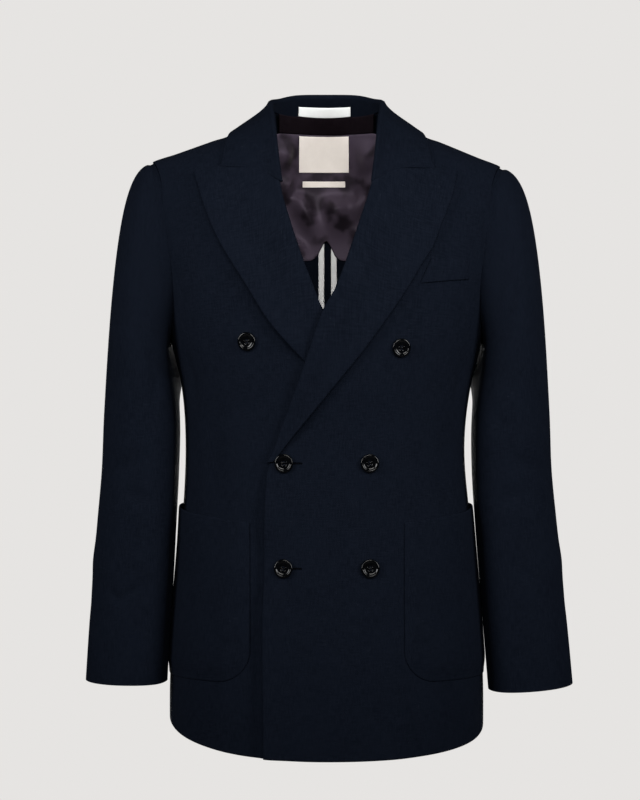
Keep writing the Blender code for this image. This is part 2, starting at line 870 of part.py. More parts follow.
def sleeve_point(side, round_, along):
    """A point of the sleeve's inner face: along is below 1 over the cap and 2 at the cuff."""
    if along > 1:
        cuff = CUFF_HEIGHT[side] - CUFF_BOW * math.sin(math.radians(round_))
        cuff += CUFF_TILT[side] * math.cos(math.radians(round_))
        return sleeve_ring(side, round_, lerp(CAP_END, cuff, along - 1))
    folded = min(round_ % 360, 360 - round_ % 360)
    point, normal = armhole(side, round_)
    ahead = armhole(side, round_ + 2)[0] - armhole(side, round_ - 2)[0]
    into = normal.cross(ahead).normalized()
    away = math.radians(smooth(SLEEVE_HEAD, "angle", folded))
    if into.dot(body(1.0, climb(0) + 0.08) - point) < 0:
        into = -into
    leave = into * math.cos(away) + normal * math.sin(away)
    start = point + into * (SEAM + HEAD_CLEARANCE * math.sin(away))
    start += normal * (HEAD_LIFT * (1 - math.cos(away)))
    end = sleeve_ring(side, round_, CAP_END)
    up = (end - sleeve_ring(side, round_, CAP_END - 0.01)).normalized()
    pull_start = smooth(SLEEVE_HEAD, "start", folded)
    pull_end = smooth(SLEEVE_HEAD, "end", folded) * HEAD_FULLNESS[side]
    points = (start, start + leave * pull_start, end + up * pull_end, end)
    return bezier(points, along)


def sleeve_wall(side, round_, along):
    point = sleeve_point(side, round_, along)
    around = sleeve_point(side, round_ + 1, along) - sleeve_point(side, round_ - 1, along)
    step = 0.01
    down = sleeve_point(side, round_, min(along + step, 2.0)) - sleeve_point(
        side, round_, max(along - step, 0.0)
    )
    normal = down.cross(around).normalized()
    outer = point + normal * CLOTH
    if side == "right":
        point.x *= -1
        outer.x *= -1
    return point, outer


def sleeve(side, part, first, last):
    def lay(u, v):
        row = v * (CAP_ROWS + ARM_ROWS)
        along = row / CAP_ROWS if row <= CAP_ROWS else 1 + (row - CAP_ROWS) / ARM_ROWS
        return sleeve_wall(side, lerp(first, last, u), along)

    cloth(f"{part}_sleeve_{side}", SLEEVE_COLUMNS[part], CAP_ROWS + ARM_ROWS, lay)


# Pockets


def patch_pocket(side):
    def lay(u, v):
        share = 0.5 - 0.5 * math.cos(u * math.pi)
        top = lerp(POCKET_TOP["front"], POCKET_TOP["side"], share)
        from_edge = min(share, 1 - share) * POCKET_WIDTH
        corner = 0.0
        if from_edge < POCKET_CORNER:
            inside = POCKET_CORNER - from_edge
            corner = POCKET_CORNER - math.sqrt(POCKET_CORNER**2 - inside**2)
        z = lerp(POCKET_BOTTOM + corner, top, v)
        level = z - ARMPIT
        inner = math.asin(POCKET_FRONT / half_width(level)) * 2 / math.pi
        turn = lerp(inner, POCKET_SIDE_TURN, share)
        low = CLOTH + LAID + lift(side, body(turn, level).x, z)
        return wall(sign(side) * turn, level, low, low + CLOTH)

    cloth(f"patch_pocket_{side}", 11, 7, lay)


def breast_welt():
    def lay(u, v):
        low, high = (Vector(ends[0]).lerp(Vector(ends[1]), u) for ends in (WELT_FOOT, WELT_MOUTH))
        x, z = low.lerp(high, v)
        turn, level = station(x, z)
        above = CLOTH + LAID + lift("left", x, z)
        return wall(turn, level, above, above + WELT_CLOTH)

    cloth("breast_welt", 5, 3, lay)


# Inside the back neck


def inside_back(name, columns, rows, spot, depth_in, thickness, finish_name):
    """A piece on the inner face of the backs: spot(u, v) gives its width and height places."""

    def lay(u, v):
        x, z = spot(u, v)
        turn, level = station(x if x else 1e-5, z, "back")
        inward = depth_in(x, z) if callable(depth_in) else depth_in
        return wall(turn, level, -inward, -inward - thickness)

    cloth(name, columns, rows, lay, finish_name)


def lining_hem(x):
    """Lower edge of the half lining: a small split at the centre, higher at the sides."""
    return LINING_HEM + LINING_SPLIT * bell(x, 0.010) + 0.012 * ease(0.05, 0.15, abs(x))


def off_the_seam(piece, x):
    """How much deeper a piece lies towards the corners of the neck."""
    return OFF_THE_SEAM[piece] * ease(0.030, 0.060, abs(x))


def lining_wave(x, z):
    calm = ease(-0.004, -0.020, z) * (1 - bell(x, 0.030))
    total = 0.0
    for at, wide, deep in zip(*LINING_WAVES.values()):
        lean = 0.15 * (z + 0.08) * math.copysign(1, at)
        total += deep * bell(x - at - lean, wide)
    return INSIDE + off_the_seam("lining", x) + total * calm


def rectangle(left, right, low, high):
    return lambda u, v: (lerp(left, right, u), lerp(low, high, v))


def neck_inside():
    def facing_depth(x, z):
        return INSIDE + off_the_seam("facing", x)

    spot = rectangle(-FACING_HALF_WIDTH, FACING_HALF_WIDTH, FACING_LOW, FACING_TOP)
    inside_back("neck_facing", 14, 2, spot, facing_depth, SATIN, "cloth")

    def lining_spot(u, v):
        x = lerp(-LINING_HALF_WIDTH, LINING_HALF_WIDTH, u)
        top = lerp(LINING_TOP["middle"], LINING_TOP["side"], ease(0.055, 0.110, abs(x)))
        return x, lerp(lining_hem(x), top, v)

    inside_back("back_lining", 30, 6, lining_spot, lining_wave, SATIN, "satin")
    on_lining = INSIDE + SATIN + LAID
    inside_back("label", 6, 4, rectangle(*LABEL_EDGES), on_lining, LABEL_CLOTH, "label")
    inside_back("strip_label", 6, 1, rectangle(*STRIP_EDGES), on_lining, LABEL_CLOTH, "label")


def seam_binding(side):
    left, right = BINDING_EDGES[side]
    join = seam_join("back", BACK_SEAM)

    def spot(u, v):
        x = lerp(left, right, u)
        row = v * BINDING_ROWS / BACK_ROWS
        level = level_at(row, hem_level(2), ROW_CHANGE - ARMPIT, join, YOKE)
        return x, min(ARMPIT + level + 0.02 * (1 - v), lining_hem(x) - 0.001)

    inside_back(f"seam_binding_{side}", 1, BINDING_ROWS, spot, INSIDE, SATIN, "binding")


def hanger_loop():
    """A tape sewn to the inner face of the collar stand at the centre back."""

    def lay(u, v):
        along = lerp(*HANGER_ENDS, u)
        column = lerp(*HANGER_COLUMNS, v)
        across = collar_base(column + 0.02, along) - collar_base(column - 0.02, along)
        ahead = collar_base(column, along + 0.004) - collar_base(column, along - 0.004)
        normal = across.cross(ahead).normalized()
        base = collar_base(column, along) - normal * (CLOTH + 2 * SEAM)
        return base, base - normal * SATIN

    cloth("hanger_loop", 8, 2, lay, "tape")


# Buttons


def button_profile():
    """The section of a button with a raised rim and a dished middle, from the top down its outer side."""
    rim = BUTTON_RADIUS
    high = BUTTON_HEIGHT
    outline = (
        (0.0, high * 0.62),
        (rim * 0.62, high * 0.66),
        (rim * 0.84, high),
        (rim * 0.96, high * 0.86),
        (rim, high * 0.50),
        (rim * 0.60, 0.0),
        (0.0, 0.0),
    )
    profile = bmesh.new()
    points = [profile.verts.new((x, 0, z)) for x, z in outline]
    for first, second in zip(points, points[1:]):
        profile.edges.new((first, second))
    mesh = bpy.data.meshes.new("button_profile")
    profile.to_mesh(mesh)
    profile.free()
    mesh.materials.append(finish("resin"))
    return mesh


def buttons():
    mesh = button_profile()
    for name, x, z, side, seat in zip(*BUTTONS.values()):
        turn, level = station(x, z)
        spot = on_body(turn, level, CLOTH + seat + lift(side, x, z))
        made = bpy.data.objects.new(f"button_{name}", mesh)
        facing_out = outward(turn, level).to_track_quat("Z", "Y").to_matrix().to_4x4()
        made.matrix_world = Matrix.Translation(spot) @ facing_out
        screw = made.modifiers.new("Turn", "SCREW")
        screw.steps = BUTTON_SIDES
        screw.render_steps = BUTTON_SIDES
        screw.use_merge_vertices = True
        screw.merge_threshold = 0.00001
        BLAZER.objects.link(made)


for old in list(bpy.data.objects):
    bpy.data.objects.remove(old)
BLAZER = bpy.data.collections.new("double breasted blazer")
bpy.context.scene.collection.children.link(BLAZER)

for half in ("left", "right"):
    front(half)
    side_body(half)
    back(half)
    patch_pocket(half)
    seam_binding(half)
    low_turn = FRONT_SLEEVE_SEAM - SLEEVE_SEAM_TURN
    sleeve(half, "top", BACK_SLEEVE_SEAM - 360 + SLEEVE_SEAM_TURN, low_turn)
    sleeve(half, "under", low_turn + 2 * SLEEVE_SEAM_TURN, BACK_SLEEVE_SEAM - SLEEVE_SEAM_TURN)
lapel("left", LEFT_LAPEL, 18)
lapel("right", RIGHT_LAPEL, 14)
collar()
breast_welt()
neck_inside()
hanger_loop()
buttons()
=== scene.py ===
"""Looks of a double breasted blazer with peak lapels and patch pockets, hollow and filled out.

Units are metres, +Z is up, the front faces -Y and the wearer's left is +X. A place on the body is a
turn of 0 at the centre front, 1 at the side and 2 at the centre back (negative on the wearer's
right), and a level, 0 at the armpit, below it in metres down, above it the way up to the shoulder
seam. Every cloth piece is laid on that surface or on a sleeve's, as a shell with rounded edges.
"""

import math

import bmesh
import bpy
import numpy as np
from mathutils import Matrix, Vector


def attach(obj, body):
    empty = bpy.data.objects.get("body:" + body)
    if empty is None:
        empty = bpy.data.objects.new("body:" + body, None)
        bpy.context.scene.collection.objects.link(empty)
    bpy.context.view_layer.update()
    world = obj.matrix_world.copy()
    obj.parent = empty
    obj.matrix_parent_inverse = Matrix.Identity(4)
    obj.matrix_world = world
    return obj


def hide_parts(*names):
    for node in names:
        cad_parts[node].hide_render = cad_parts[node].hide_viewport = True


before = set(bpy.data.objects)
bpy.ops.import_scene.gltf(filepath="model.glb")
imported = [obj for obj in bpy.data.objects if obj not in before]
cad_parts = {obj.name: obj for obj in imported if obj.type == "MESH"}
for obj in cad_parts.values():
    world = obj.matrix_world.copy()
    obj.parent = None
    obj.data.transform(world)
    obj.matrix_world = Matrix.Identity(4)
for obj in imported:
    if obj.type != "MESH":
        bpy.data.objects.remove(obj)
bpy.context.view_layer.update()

# Thickness of the cloths, and the gaps at seams, between layers and inside the back
CLOTH = 0.002
SATIN = 0.001
WELT_CLOTH = 0.0016
LABEL_CLOTH = 0.0007
SEAM = 0.0001
LAID = 0.0006
INSIDE = 0.0008

# Steps towards an answer that is found by trial
HALVINGS = 30
NEAREST_STEPS = 8
EDGE_TRIALS = 10

# A hair beside the middle, where the body has no side
OFF_CENTRE = 1e-5

# Edges of a piece: how far in the cloth rounds off, and the share of its thickness left there;
# and the spacing of a piece's outermost lines as shares of the rest
FREE = (0.0014, 0.30)
SEWN = (0.0016, 0.72)
SUNK = (0.0030, 0.45)
LABEL_EDGE = (0.0006, 0.4)
TAPE_EDGE = (0.0008, 0.4)
EDGE_STEPS = (0.10, 0.22, 0.45)

# Body, from the hem up to the shoulder seam
ARMPIT = -0.262
YOKE = 0.24
SHOULDER_HALF_WIDTH = 0.23
SHOULDER_TILT = 0.014
SQUARENESS = 2.5
FULLNESS = {"front": 0.006, "back": 0.015}
FRONT_HEM = -0.738
SIDE_HEM = {"left": -0.704, "right": -0.700}
BACK_HEM = -0.700
FRONT_HEM_ROUNDNESS = {"left": 0.59, "right": 0.93}
HEM_FADE = 0.16
FRONT_SEAM = 0.82
BACK_SEAM = 1.19
BACK_SPLIT = 7 / 11
SEAM_TURN = 0.0004
TURN_LENGTH = 0.25
NECK_HALF_WIDTH = 0.066
NECK_HEIGHT = 0.020

# Rows of the fronts and backs: shares of them below ROW_CHANGE and below the side seam's upper
# end, and how they are spaced to come out even
LOW_ROWS = 0.25
JOIN_ROWS = 0.5625
ROW_CHANGE = -0.425
EVEN_ROWS = (0.0, 0.40, 0.60, 1.0)

# Double breasted overlap: how far the right front and its lapel hold the left front out, and
# where that fades, across from the middle and by height
OVERLAP_LIFT = 0.0027
OVERLAP_FADE = (0.074, 0.112)
OVERLAP_TOP = (-0.20, -0.12)
LAPEL_LIFT = 0.0036
LAPEL_LIFT_FADE = (0.030, 0.090)
LAPEL_LIFT_FOOT = (-0.37, -0.305)

# Free edge of the left front: how far it stands off at the buttons and away from them
EDGE_LIFT = (0.0026, 0.0062)
EDGE_LIFT_TOP = (-0.42, -0.39)
EDGE_LIFT_FADE = (-0.072, -0.040)
FROM_BUTTON = (0.010, 0.060)

# Lapels: the cloth's edge within the fold, the roll over it, and how far they stand off the chest
FOLD_INSET = 0.0034
FOLD_FOOT = (-0.415, -0.379)
FOLD_GAP = 0.0008
LOWER_FOLD_GAP = 2.2
LOWER_FOLD_ROWS = (0.0, 2.0)
LAPEL_ROLL = 0.0006
ROLL_FADE = 0.02
LAPEL_SPRING = 0.0007
LAPEL_EDGE = {"left": 0.0026, "right": 0.0058}
LAPEL_EDGE_FROM = (0.55, 1.0)
LAPEL_BELLY = 0.0016
BELLY_AT = (0.22, 0.16)
LAPEL_COLUMNS = (0.0, 0.20, 0.80, 1.0)
WRAP_LINES = 13

# Where these come in and die out, as shares of a lapel's width or of its length up to the gorge
SPRING_ACROSS = (0.45, 0.9)
EDGE_STARTS = (0.05, 0.25)
EDGE_ENDS = (0.9, 1.0)
EDGE_END_LOSS = 0.5
BELLY_STARTS = (0.2, 0.6)
BELLY_ENDS = (0.7, 0.95)
NOTCH_LINE_STARTS = (0.6, 1.0)
GORGE_STARTS = (0.75, 1.0)
GORGE_SEAM_STARTS = (0.9, 1.0)

# Gorge, where the collar meets the lapels
NOTCH = {"left": (0.1270, -0.0575), "right": (0.1250, -0.0558)}
GORGE_PEAK = 0.36
GORGE_RISE = 0.0105
GORGE_ROUNDNESS = (0.20, 0.14)
GORGE_GAP = 0.0005
GORGE_OVERLAP = -0.0012
GORGE_PARTS = (0.25, 0.6)
LAST_NOTCH = 0.85

# Collar: its lines up the stand, over the fold and down the leaf, and how its leaf lies
STAND_LINES = 2
TURN_LINES = 4
LEAF_LINES = 5
COLLAR_LINES = STAND_LINES + TURN_LINES + LEAF_LINES
COLLAR_COLUMNS = (0.0, 0.25, 0.45, 1.0)
COLLAR_SEAM = (0.0010, 0.0006)
LEAF_GAP = 0.0002
LEAF_LIFT = 0.0008
LEAF_LIFT_AT = (0.42, 0.14)
LEAF_SPRING = (0.25, 0.06)
LEAF_LANDING = 0.33
COLLAR_SEAM_STARTS = (0.9, 1.0)
NOTCH_STARTS = (0.8, 1.0)
LEAF_BEND_STARTS = (0.82, 1.0)
LEAF_BEND_BACK = 0.55
COLLAR_SPAN = (0.22, 0.09)

# Sleeves
CAP_END = -0.300
CUFF_HEIGHT = {"left": -0.6638, "right": -0.6567}
CUFF_TILT = {"left": 0.0035, "right": 0.0005}
CUFF_BOW = 0.003
FRONT_SLEEVE_SEAM = 138.0
BACK_SLEEVE_SEAM = 242.0
SLEEVE_SEAM_TURN = 0.05
SHORT_OF_TIP = 0.99999
UNDERLAP = 0.036
UNDERLAP_ROUND = (40.0, 85.0)
SIDE_UNDERLAP = 0.007
HEAD_CLEARANCE = 0.0010
HEAD_LIFT = 0.0026
HEAD_ROPE = 0.0016
ROPE_AT = (0.035, 0.030)
ROPE_OVER_TOP = (-0.1, 0.9)
HEAD_FULLNESS = {"left": 1.07, "right": 1.0}
CAP_SHARE = 0.42
SLEEVE_SPAN = (0.36, -0.30)
CREASE_REACH = 0.05

# Pockets
POCKET_FRONT = 0.088
POCKET_SIDE_TURN = 1.04
POCKET_WIDTH = 0.175
POCKET_TOP = {"front": -0.4675, "side": -0.4500}
POCKET_BOTTOM = -0.650
POCKET_CORNER = 0.036
POCKET_SUNK = -0.0006
POCKET_RISE = 0.012
POCKET_FULLNESS = 0.0012
POCKET_GAPE = {"left": 0.0022, "right": 0.0030}
GAPE_AT = (0.62, 0.30)
GAPE_STARTS = (0.55, 1.0)
POCKET_FOOT = (0.0, 0.10)
WELT_ENDS = ((0.0, 0.08), (1.0, 0.92))
WELT_LOOSENS = (1.0, 0.5)
WELT_FOOT = ((0.1060, -0.1925), (0.1650, -0.1860))
WELT_MOUTH = ((0.1190, -0.1635), (0.1610, -0.1610))

# Inside of the back neck
FACING_EDGES = (-0.060, 0.060, 0.0025, 0.0222)
LINING_HALF_WIDTH = 0.150
LINING_HEM = -0.1525
LINING_SPLIT = 0.025
LINING_SPLIT_WIDTH = 0.010
LINING_SIDE_RISE = 0.012
LINING_SIDES = (0.05, 0.15)
LINING_TOP = (0.0020, -0.0300)
LINING_TOP_TURNS = (0.055, 0.110)
LINING_LEAST = -0.0005
SEAM_CALM = (0.000, -0.010)
LABEL_CALM_SIDES = (0.033, 0.046)
LABEL_CALM_FOOT = (-0.062, -0.076)
OFF_THE_SEAM = {"facing": 0.0020, "lining": 0.0016}
NECK_CORNERS = (0.030, 0.060)
LABEL_EDGES = (-0.0345, 0.0285, -0.0430, 0.0005)
STRIP_EDGES = (-0.0300, 0.0240, -0.0610, -0.0536)
BINDING_EDGES = {"right": (-0.0097, -0.0025), "left": (0.0060, 0.0132)}
BINDING_FOOT = BACK_HEM + 0.021
BINDING_TOP_GAP = 0.001
HANGER_ENDS = (-0.1782, 0.1518)
HANGER_COLUMNS = (0.20, 1.20)
HANGER_SPAN = (0.063, 0.012)
HANGER_GAP = 0.0006
HANGER_SAG = 0.0006
HANGER_STITCHED = 0.06


def rgb(red, green, blue):
    return (red, green, blue, 1.0)


def table(columns, *rows):
    """Rows under named columns, as one array for each name."""
    return {name: np.array([row[i] for row in rows]) for i, name in enumerate(columns.split())}


# Outside of the body below the armpit, by height
BODY = table(
    "height  half_width  front   back",
    (-0.745, 0.1870, 0.1390, 0.1240),
    (-0.660, 0.1870, 0.1350, 0.1230),
    (-0.600, 0.1835, 0.1300, 0.1200),
    (-0.520, 0.1770, 0.1230, 0.1070),
    (-0.450, 0.1710, 0.1180, 0.0950),
    (-0.380, 0.1685, 0.1165, 0.0900),
    (-0.318, 0.1722, 0.1190, 0.1000),
    (-0.262, 0.1840, 0.1225, 0.1140),
)

# Shoulder line from the middle of the neck to the tip, inside the cloth
RIDGE = table(
    "across  height",
    (-0.030, 0.0670),
    (0.000, 0.0870),
    (0.030, 0.0670),
    (0.066, 0.0200),
    (0.092, 0.0020),
    (0.118, -0.0130),
    (0.134, -0.0183),
    (0.150, -0.0243),
    (0.180, -0.0357),
    (0.208, -0.0458),
    (0.235, -0.0620),
)

# Armhole by degrees round it, from the shoulder tip down to the armpit: the body's turn
ARMHOLE = table(
    "round  front   back",
    (0.0, 0.719, 1.281),
    (45.0, 0.673, 1.290),
    (90.0, 0.690, 1.262),
    (120.0, 0.732, 1.200),
    (150.0, 0.835, 1.110),
    (180.0, 1.000, 1.000),
)

# Outer edge of each front by height: the fold of its lapel, then the edge below
# it. Each is measured from the middle towards that front's own side.
EDGE = table(
    "height   left     right",
    (-0.7450, -0.0702, -0.0680),
    (-0.5535, -0.0708, -0.0680),
    (-0.4170, -0.0680, -0.0675),
    (-0.3990, -0.0655, -0.0645),
    (-0.3790, -0.0590, -0.0585),
    (-0.3380, -0.0440, -0.0430),
    (-0.2830, -0.0250, -0.0195),
    (-0.2260, -0.0055, 0.0035),
    (-0.2000, 0.0090, 0.0135),
    (-0.1590, 0.0245, 0.0290),
    (-0.0990, 0.0440, 0.0480),
    (-0.0745, 0.0510, 0.0530),
    (-0.0140, 0.0590, 0.0605),
    (0.0200, 0.0631, 0.0631),
)

# Lapels from the lower end up to the gorge: where each row leaves the fold, and its outer edge
LEFT_LAPEL = table(
    "row  fold     across   height",
    (0, -0.3980, -0.0600, -0.3975),
    (1, -0.3790, -0.0425, -0.3740),
    (2, -0.3380, -0.0247, -0.3515),
    (3, -0.2830, 0.0118, -0.3060),
    (4, -0.2260, 0.0560, -0.2490),
    (5, -0.1590, 0.1020, -0.1800),
    (6, -0.1050, 0.1370, -0.1090),
    (7, -0.0745, 0.1520, -0.0605),
)
RIGHT_LAPEL = table(
    "row  fold     across   height",
    (0, -0.2700, 0.0080, -0.3000),
    (1, -0.2210, 0.0400, -0.2660),
    (2, -0.1885, 0.0660, -0.2350),
    (3, -0.1530, 0.0900, -0.1960),
    (4, -0.1070, 0.1270, -0.1330),
    (5, -0.0745, 0.1540, -0.0605),
)

# Collar from the centre back (0) past the shoulder seam (0.5) to the gorge (1): its
# visible fold, the plan of its outer edge, the neck seam's height and the fold's radius
COLLAR = table(
    "along fold_x  fold_y   fold_z   edge_x  edge_y   neck_z   radius",
    (-0.18, -0.0360, 0.0560, 0.0470, -0.0480, 0.0820, 0.0200, 0.0020),
    (0.00, 0.0000, 0.0640, 0.0485, 0.0000, 0.0960, 0.0200, 0.0020),
    (0.18, 0.0360, 0.0560, 0.0470, 0.0480, 0.0820, 0.0200, 0.0020),
    (0.34, 0.0560, 0.0340, 0.0400, 0.0860, 0.0460, 0.0200, 0.0020),
    (0.50, 0.0662, 0.0040, 0.0335, 0.1095, 0.0060, 0.0200, 0.0018),
    (0.60, 0.0654, -0.0220, 0.0250, 0.1150, -0.0200, 0.0160, 0.0015),
    (0.70, 0.0630, -0.0460, 0.0120, 0.1175, -0.0340, 0.0020, 0.0012),
    (0.80, 0.0600, -0.0710, -0.0100, 0.1195, -0.0450, -0.0180, 0.0010),
    (0.90, 0.0560, -0.0905, -0.0420, 0.1220, -0.0540, -0.0460, 0.0008),
    (1.00, 0.0512, -0.1030, -0.0745, 0.1250, -0.0620, -0.0745, 0.0006),
)

# How a sleeve leaves the armhole, by degrees round it: the angle away from
# the body's surface, and the lengths of the curve's two ends
SLEEVE_HEAD = table(
    "round  angle  start  end",
    (0.0, 20.0, 0.034, 0.175),
    (45.0, 36.0, 0.035, 0.140),
    (90.0, 60.0, 0.030, 0.080),
    (135.0, 112.0, 0.016, 0.030),
    (180.0, 178.0, 0.010, 0.012),
)

# Outside of the sleeves by height: across from the middle on each side, and front to back
SLEEVE = table(
    "height left_in left_out right_in right_out front   back",
    (-0.680, 0.1900, 0.2945, 0.1872, 0.2880, -0.0760, -0.0020),
    (-0.610, 0.1850, 0.2890, 0.1842, 0.2845, -0.0730, 0.0130),
    (-0.540, 0.1800, 0.2830, 0.1802, 0.2805, -0.0700, 0.0300),
    (-0.470, 0.1752, 0.2765, 0.1772, 0.2755, -0.0690, 0.0470),
    (-0.410, 0.1720, 0.2712, 0.1746, 0.2708, -0.0700, 0.0590),
    (-0.350, 0.1722, 0.2692, 0.1738, 0.2685, -0.0730, 0.0660),
    (-0.290, 0.1797, 0.2660, 0.1802, 0.2650, -0.0780, 0.0710),
)

# Creases of the sleeves: degrees round, height, spread each way, depth, and lean
CREASE_COLUMNS = "round height wide tall depth lean"
CREASES_OF_BOTH = (
    (70.0, -0.405, 26.0, 0.012, -0.0030, 0.35),
    (95.0, -0.440, 22.0, 0.010, -0.0024, -0.30),
    (255.0, -0.395, 30.0, 0.016, -0.0026, 0.25),
    (330.0, -0.580, 28.0, 0.014, -0.0022, 0.40),
    (30.0, -0.520, 34.0, 0.018, 0.0020, -0.25),
    (128.0, -0.450, 25.0, 0.260, 0.0090, 0.0),
    (215.0, -0.290, 26.0, 0.036, 0.0080, 0.0),
    (222.0, -0.300, 24.0, 0.026, 0.0070, 0.0),
)
SLEEVE_CREASES = {
    "left": table(
        CREASE_COLUMNS,
        *CREASES_OF_BOTH,
        (112.0, -0.352, 8.0, 0.016, -0.0020, -0.40),
        (84.0, -0.530, 15.0, 0.008, -0.0018, 0.55),
        (60.0, -0.250, 22.0, 0.014, 0.0016, 0.30),
    ),
    "right": table(
        CREASE_COLUMNS,
        *CREASES_OF_BOTH,
        (116.0, -0.312, 7.0, 0.024, -0.0024, 0.30),
        (92.0, -0.552, 13.0, 0.007, -0.0022, 0.60),
        (70.0, -0.556, 13.0, 0.007, -0.0020, -0.60),
        (64.0, -0.262, 20.0, 0.013, 0.0015, -0.30),
    ),
}

# Soft folds of the body: turn, height, spread each way, depth, and lean in metres per turn
BODY_FOLDS = table(
    "turn     height  wide   tall   depth    lean",
    (-0.560, -0.395, 0.070, 0.045, -0.0022, 0.0),
    (0.620, -0.400, 0.070, 0.050, -0.0020, 0.0),
    (0.600, -0.455, 0.100, 0.030, 0.0022, 0.0),
    (-0.420, -0.600, 0.060, 0.120, 0.0018, 0.0),
    (1.450, -0.370, 0.120, 0.040, -0.0025, 0.0),
    (-1.450, -0.370, 0.120, 0.040, -0.0025, 0.0),
    (1.650, -0.560, 0.070, 0.110, 0.0030, 0.0),
    (-1.600, -0.560, 0.080, 0.120, 0.0026, 0.0),
    (0.980, -0.385, 0.260, 0.065, -0.0036, 0.0),
    (-0.373, -0.335, 0.110, 0.011, -0.0016, 0.10),
    (0.600, -0.437, 0.060, 0.011, -0.0020, -0.25),
    (0.700, -0.300, 0.050, 0.035, -0.0024, 0.0),
    (-0.720, -0.300, 0.050, 0.035, -0.0024, 0.0),
    (-0.285, -0.600, 0.030, 0.200, -0.0016, 0.0),
)

# Folds of the half lining: across, height, spread each way, depth, lean, and how many times
# as tall it is on its lower side
LINING_FOLDS = table(
    "across  height  wide   tall   depth   lean  below",
    (-0.120, -0.090, 0.012, 0.070, 0.0040, 0.10, 1.0),
    (-0.084, -0.080, 0.009, 0.060, 0.0045, 0.20, 1.0),
    (-0.056, -0.020, 0.014, 0.012, 0.0120, 0.15, 1.8),
    (-0.052, -0.056, 0.011, 0.009, 0.0100, 0.35, 2.4),
    (-0.060, -0.100, 0.008, 0.020, 0.0070, -0.50, 1.0),
    (-0.027, -0.090, 0.013, 0.022, 0.0180, -0.42, 1.4),
    (0.013, -0.086, 0.018, 0.011, 0.0240, 0.10, 2.6),
    (0.043, -0.082, 0.013, 0.014, 0.0120, 0.15, 1.6),
    (0.042, -0.120, 0.010, 0.010, 0.0080, -0.30, 1.5),
    (0.054, -0.024, 0.013, 0.014, 0.0080, -0.10, 1.8),
    (0.056, -0.056, 0.011, 0.009, 0.0080, 0.30, 1.6),
    (-0.036, -0.132, 0.008, 0.008, 0.0070, -0.50, 1.0),
    (0.084, -0.090, 0.010, 0.060, 0.0040, -0.15, 1.0),
    (0.122, -0.090, 0.012, 0.070, 0.0035, 0.10, 1.0),
)

# Buttons from the top row down: number, across, height, front, seat and turn in degrees
UPPER_ROW = -0.3990
LOWER_ROW = -0.5195
BUTTONS = (
    (1, -0.0910, -0.2590, "right", 0.0000, 8.0),
    (2, 0.0840, -0.2660, "left", 0.0008, -5.0),
    (3, -0.0485, UPPER_ROW, "left", 0.0003, 4.0),
    (4, 0.0485, UPPER_ROW, "left", 0.0003, 12.0),
    (5, -0.0490, LOWER_ROW, "left", 0.0003, -9.0),
    (6, 0.0490, LOWER_ROW, "left", 0.0003, 3.0),
)
BUTTON_RADIUS = 0.01075
BUTTON_HEIGHT = 0.0042
BUTTON_SIDES = 96
BUTTON_RINGS = 56
BUTTON_OUTLINE = (
    (0.0, 0.60), (0.50, 0.60), (0.66, 0.68), (0.76, 0.94), (0.84, 1.00), (0.92, 0.97),
    (1.0, 0.72), (1.0, 0.45), (0.90, 0.22), (0.60, 0.02), (0.0, 0.0),
)
BUTTON_HOLES = ((0.0017, 0.0017), (-0.0017, 0.0017), (0.0017, -0.0017), (-0.0017, -0.0017))
HOLE_WALL = (0.0006375, 0.0010625)
HOLE_DEPTH = 0.0011
STRAND_RADIUS = 0.00021
STRAND_GAP = 0.00034
STRAND_ARCH = 0.00055
STRAND_SEAT = 0.62

# Buttonholes, each under a button's middle. A stitch's path is how far off it is and how high.
BUTTONHOLES = (("buttonhole_upper", -0.0485, UPPER_ROW), ("buttonhole_lower", -0.0490, LOWER_ROW))
SLIT_LENGTH = 0.0190
SLIT_PAST_BUTTON = 0.001
SLIT_STITCHES = 44
STITCH_PATH = ((0.00012, 0.0001), (0.00026, 0.00034), (0.0008, 0.0003), (0.0011, 0.0))
STITCH_RADIUS = 0.00022
STITCH_WOBBLE = 0.00012
WOBBLE_STEP = 2.3
BAR_STITCHES = 5
BAR_PATH = ((0.0001, 0.0002), (0.0005, 0.0003), (0.0009, 0.0))
BAR_FAN = 0.6

# Colours of the yarns and finishes
WOOL = rgb(0.0017, 0.0026, 0.0049)
WOOL_DARK = rgb(0.0014, 0.0021, 0.0040)
WOOL_YARN = rgb(0.0025, 0.0035, 0.0063)
WOOL_SLUB = rgb(0.010, 0.0125, 0.018)
WOOL_NAP = rgb(0.62, 0.70, 0.95)
# Painted shade: the neck facing's dark brown stands for the collar's shadow over it
FACING_PAINTED_SHADE = rgb(0.0040, 0.0025, 0.0035)
FACING_PAINTED_SHADE_DARK = rgb(0.0028, 0.0017, 0.0025)
FACING_PAINTED_SHADE_YARN = rgb(0.0052, 0.0034, 0.0046)
SATIN_LILAC = rgb(0.0400, 0.0300, 0.0440)
# Painted shade: dark patches mixed into the lining's colour stand for the shade of its folds
SATIN_PAINTED_SHADE = rgb(0.0085, 0.0062, 0.0092)
SATIN_SHINE = rgb(0.93, 0.80, 1.0)
RIBBON = rgb(0.80, 0.74, 0.69)
RIBBON_SHADED = rgb(0.72, 0.66, 0.61)
TAPE_WHITE = rgb(0.69, 0.70, 0.69)
TAPE_SHADED = rgb(0.59, 0.60, 0.59)
BIAS_WHITE = rgb(0.56, 0.56, 0.56)
BIAS_SHADED = rgb(0.44, 0.44, 0.44)
HORN_DARK = rgb(0.0004, 0.0005, 0.0007)
HORN_CLOUD = rgb(0.0010, 0.0011, 0.0014)
BUTTON_SILK = rgb(0.0030, 0.0040, 0.0075)
BUTTON_SILK_SHADED = rgb(0.0015, 0.0020, 0.0040)
HOLE_SILK = rgb(0.0009, 0.0012, 0.0022)
HOLE_SILK_SHADED = rgb(0.0005, 0.0007, 0.0013)
PALE_FLOOR = rgb(0.80, 0.79, 0.78)
PALE_FLOOR_CLOUD = rgb(0.78, 0.77, 0.76)

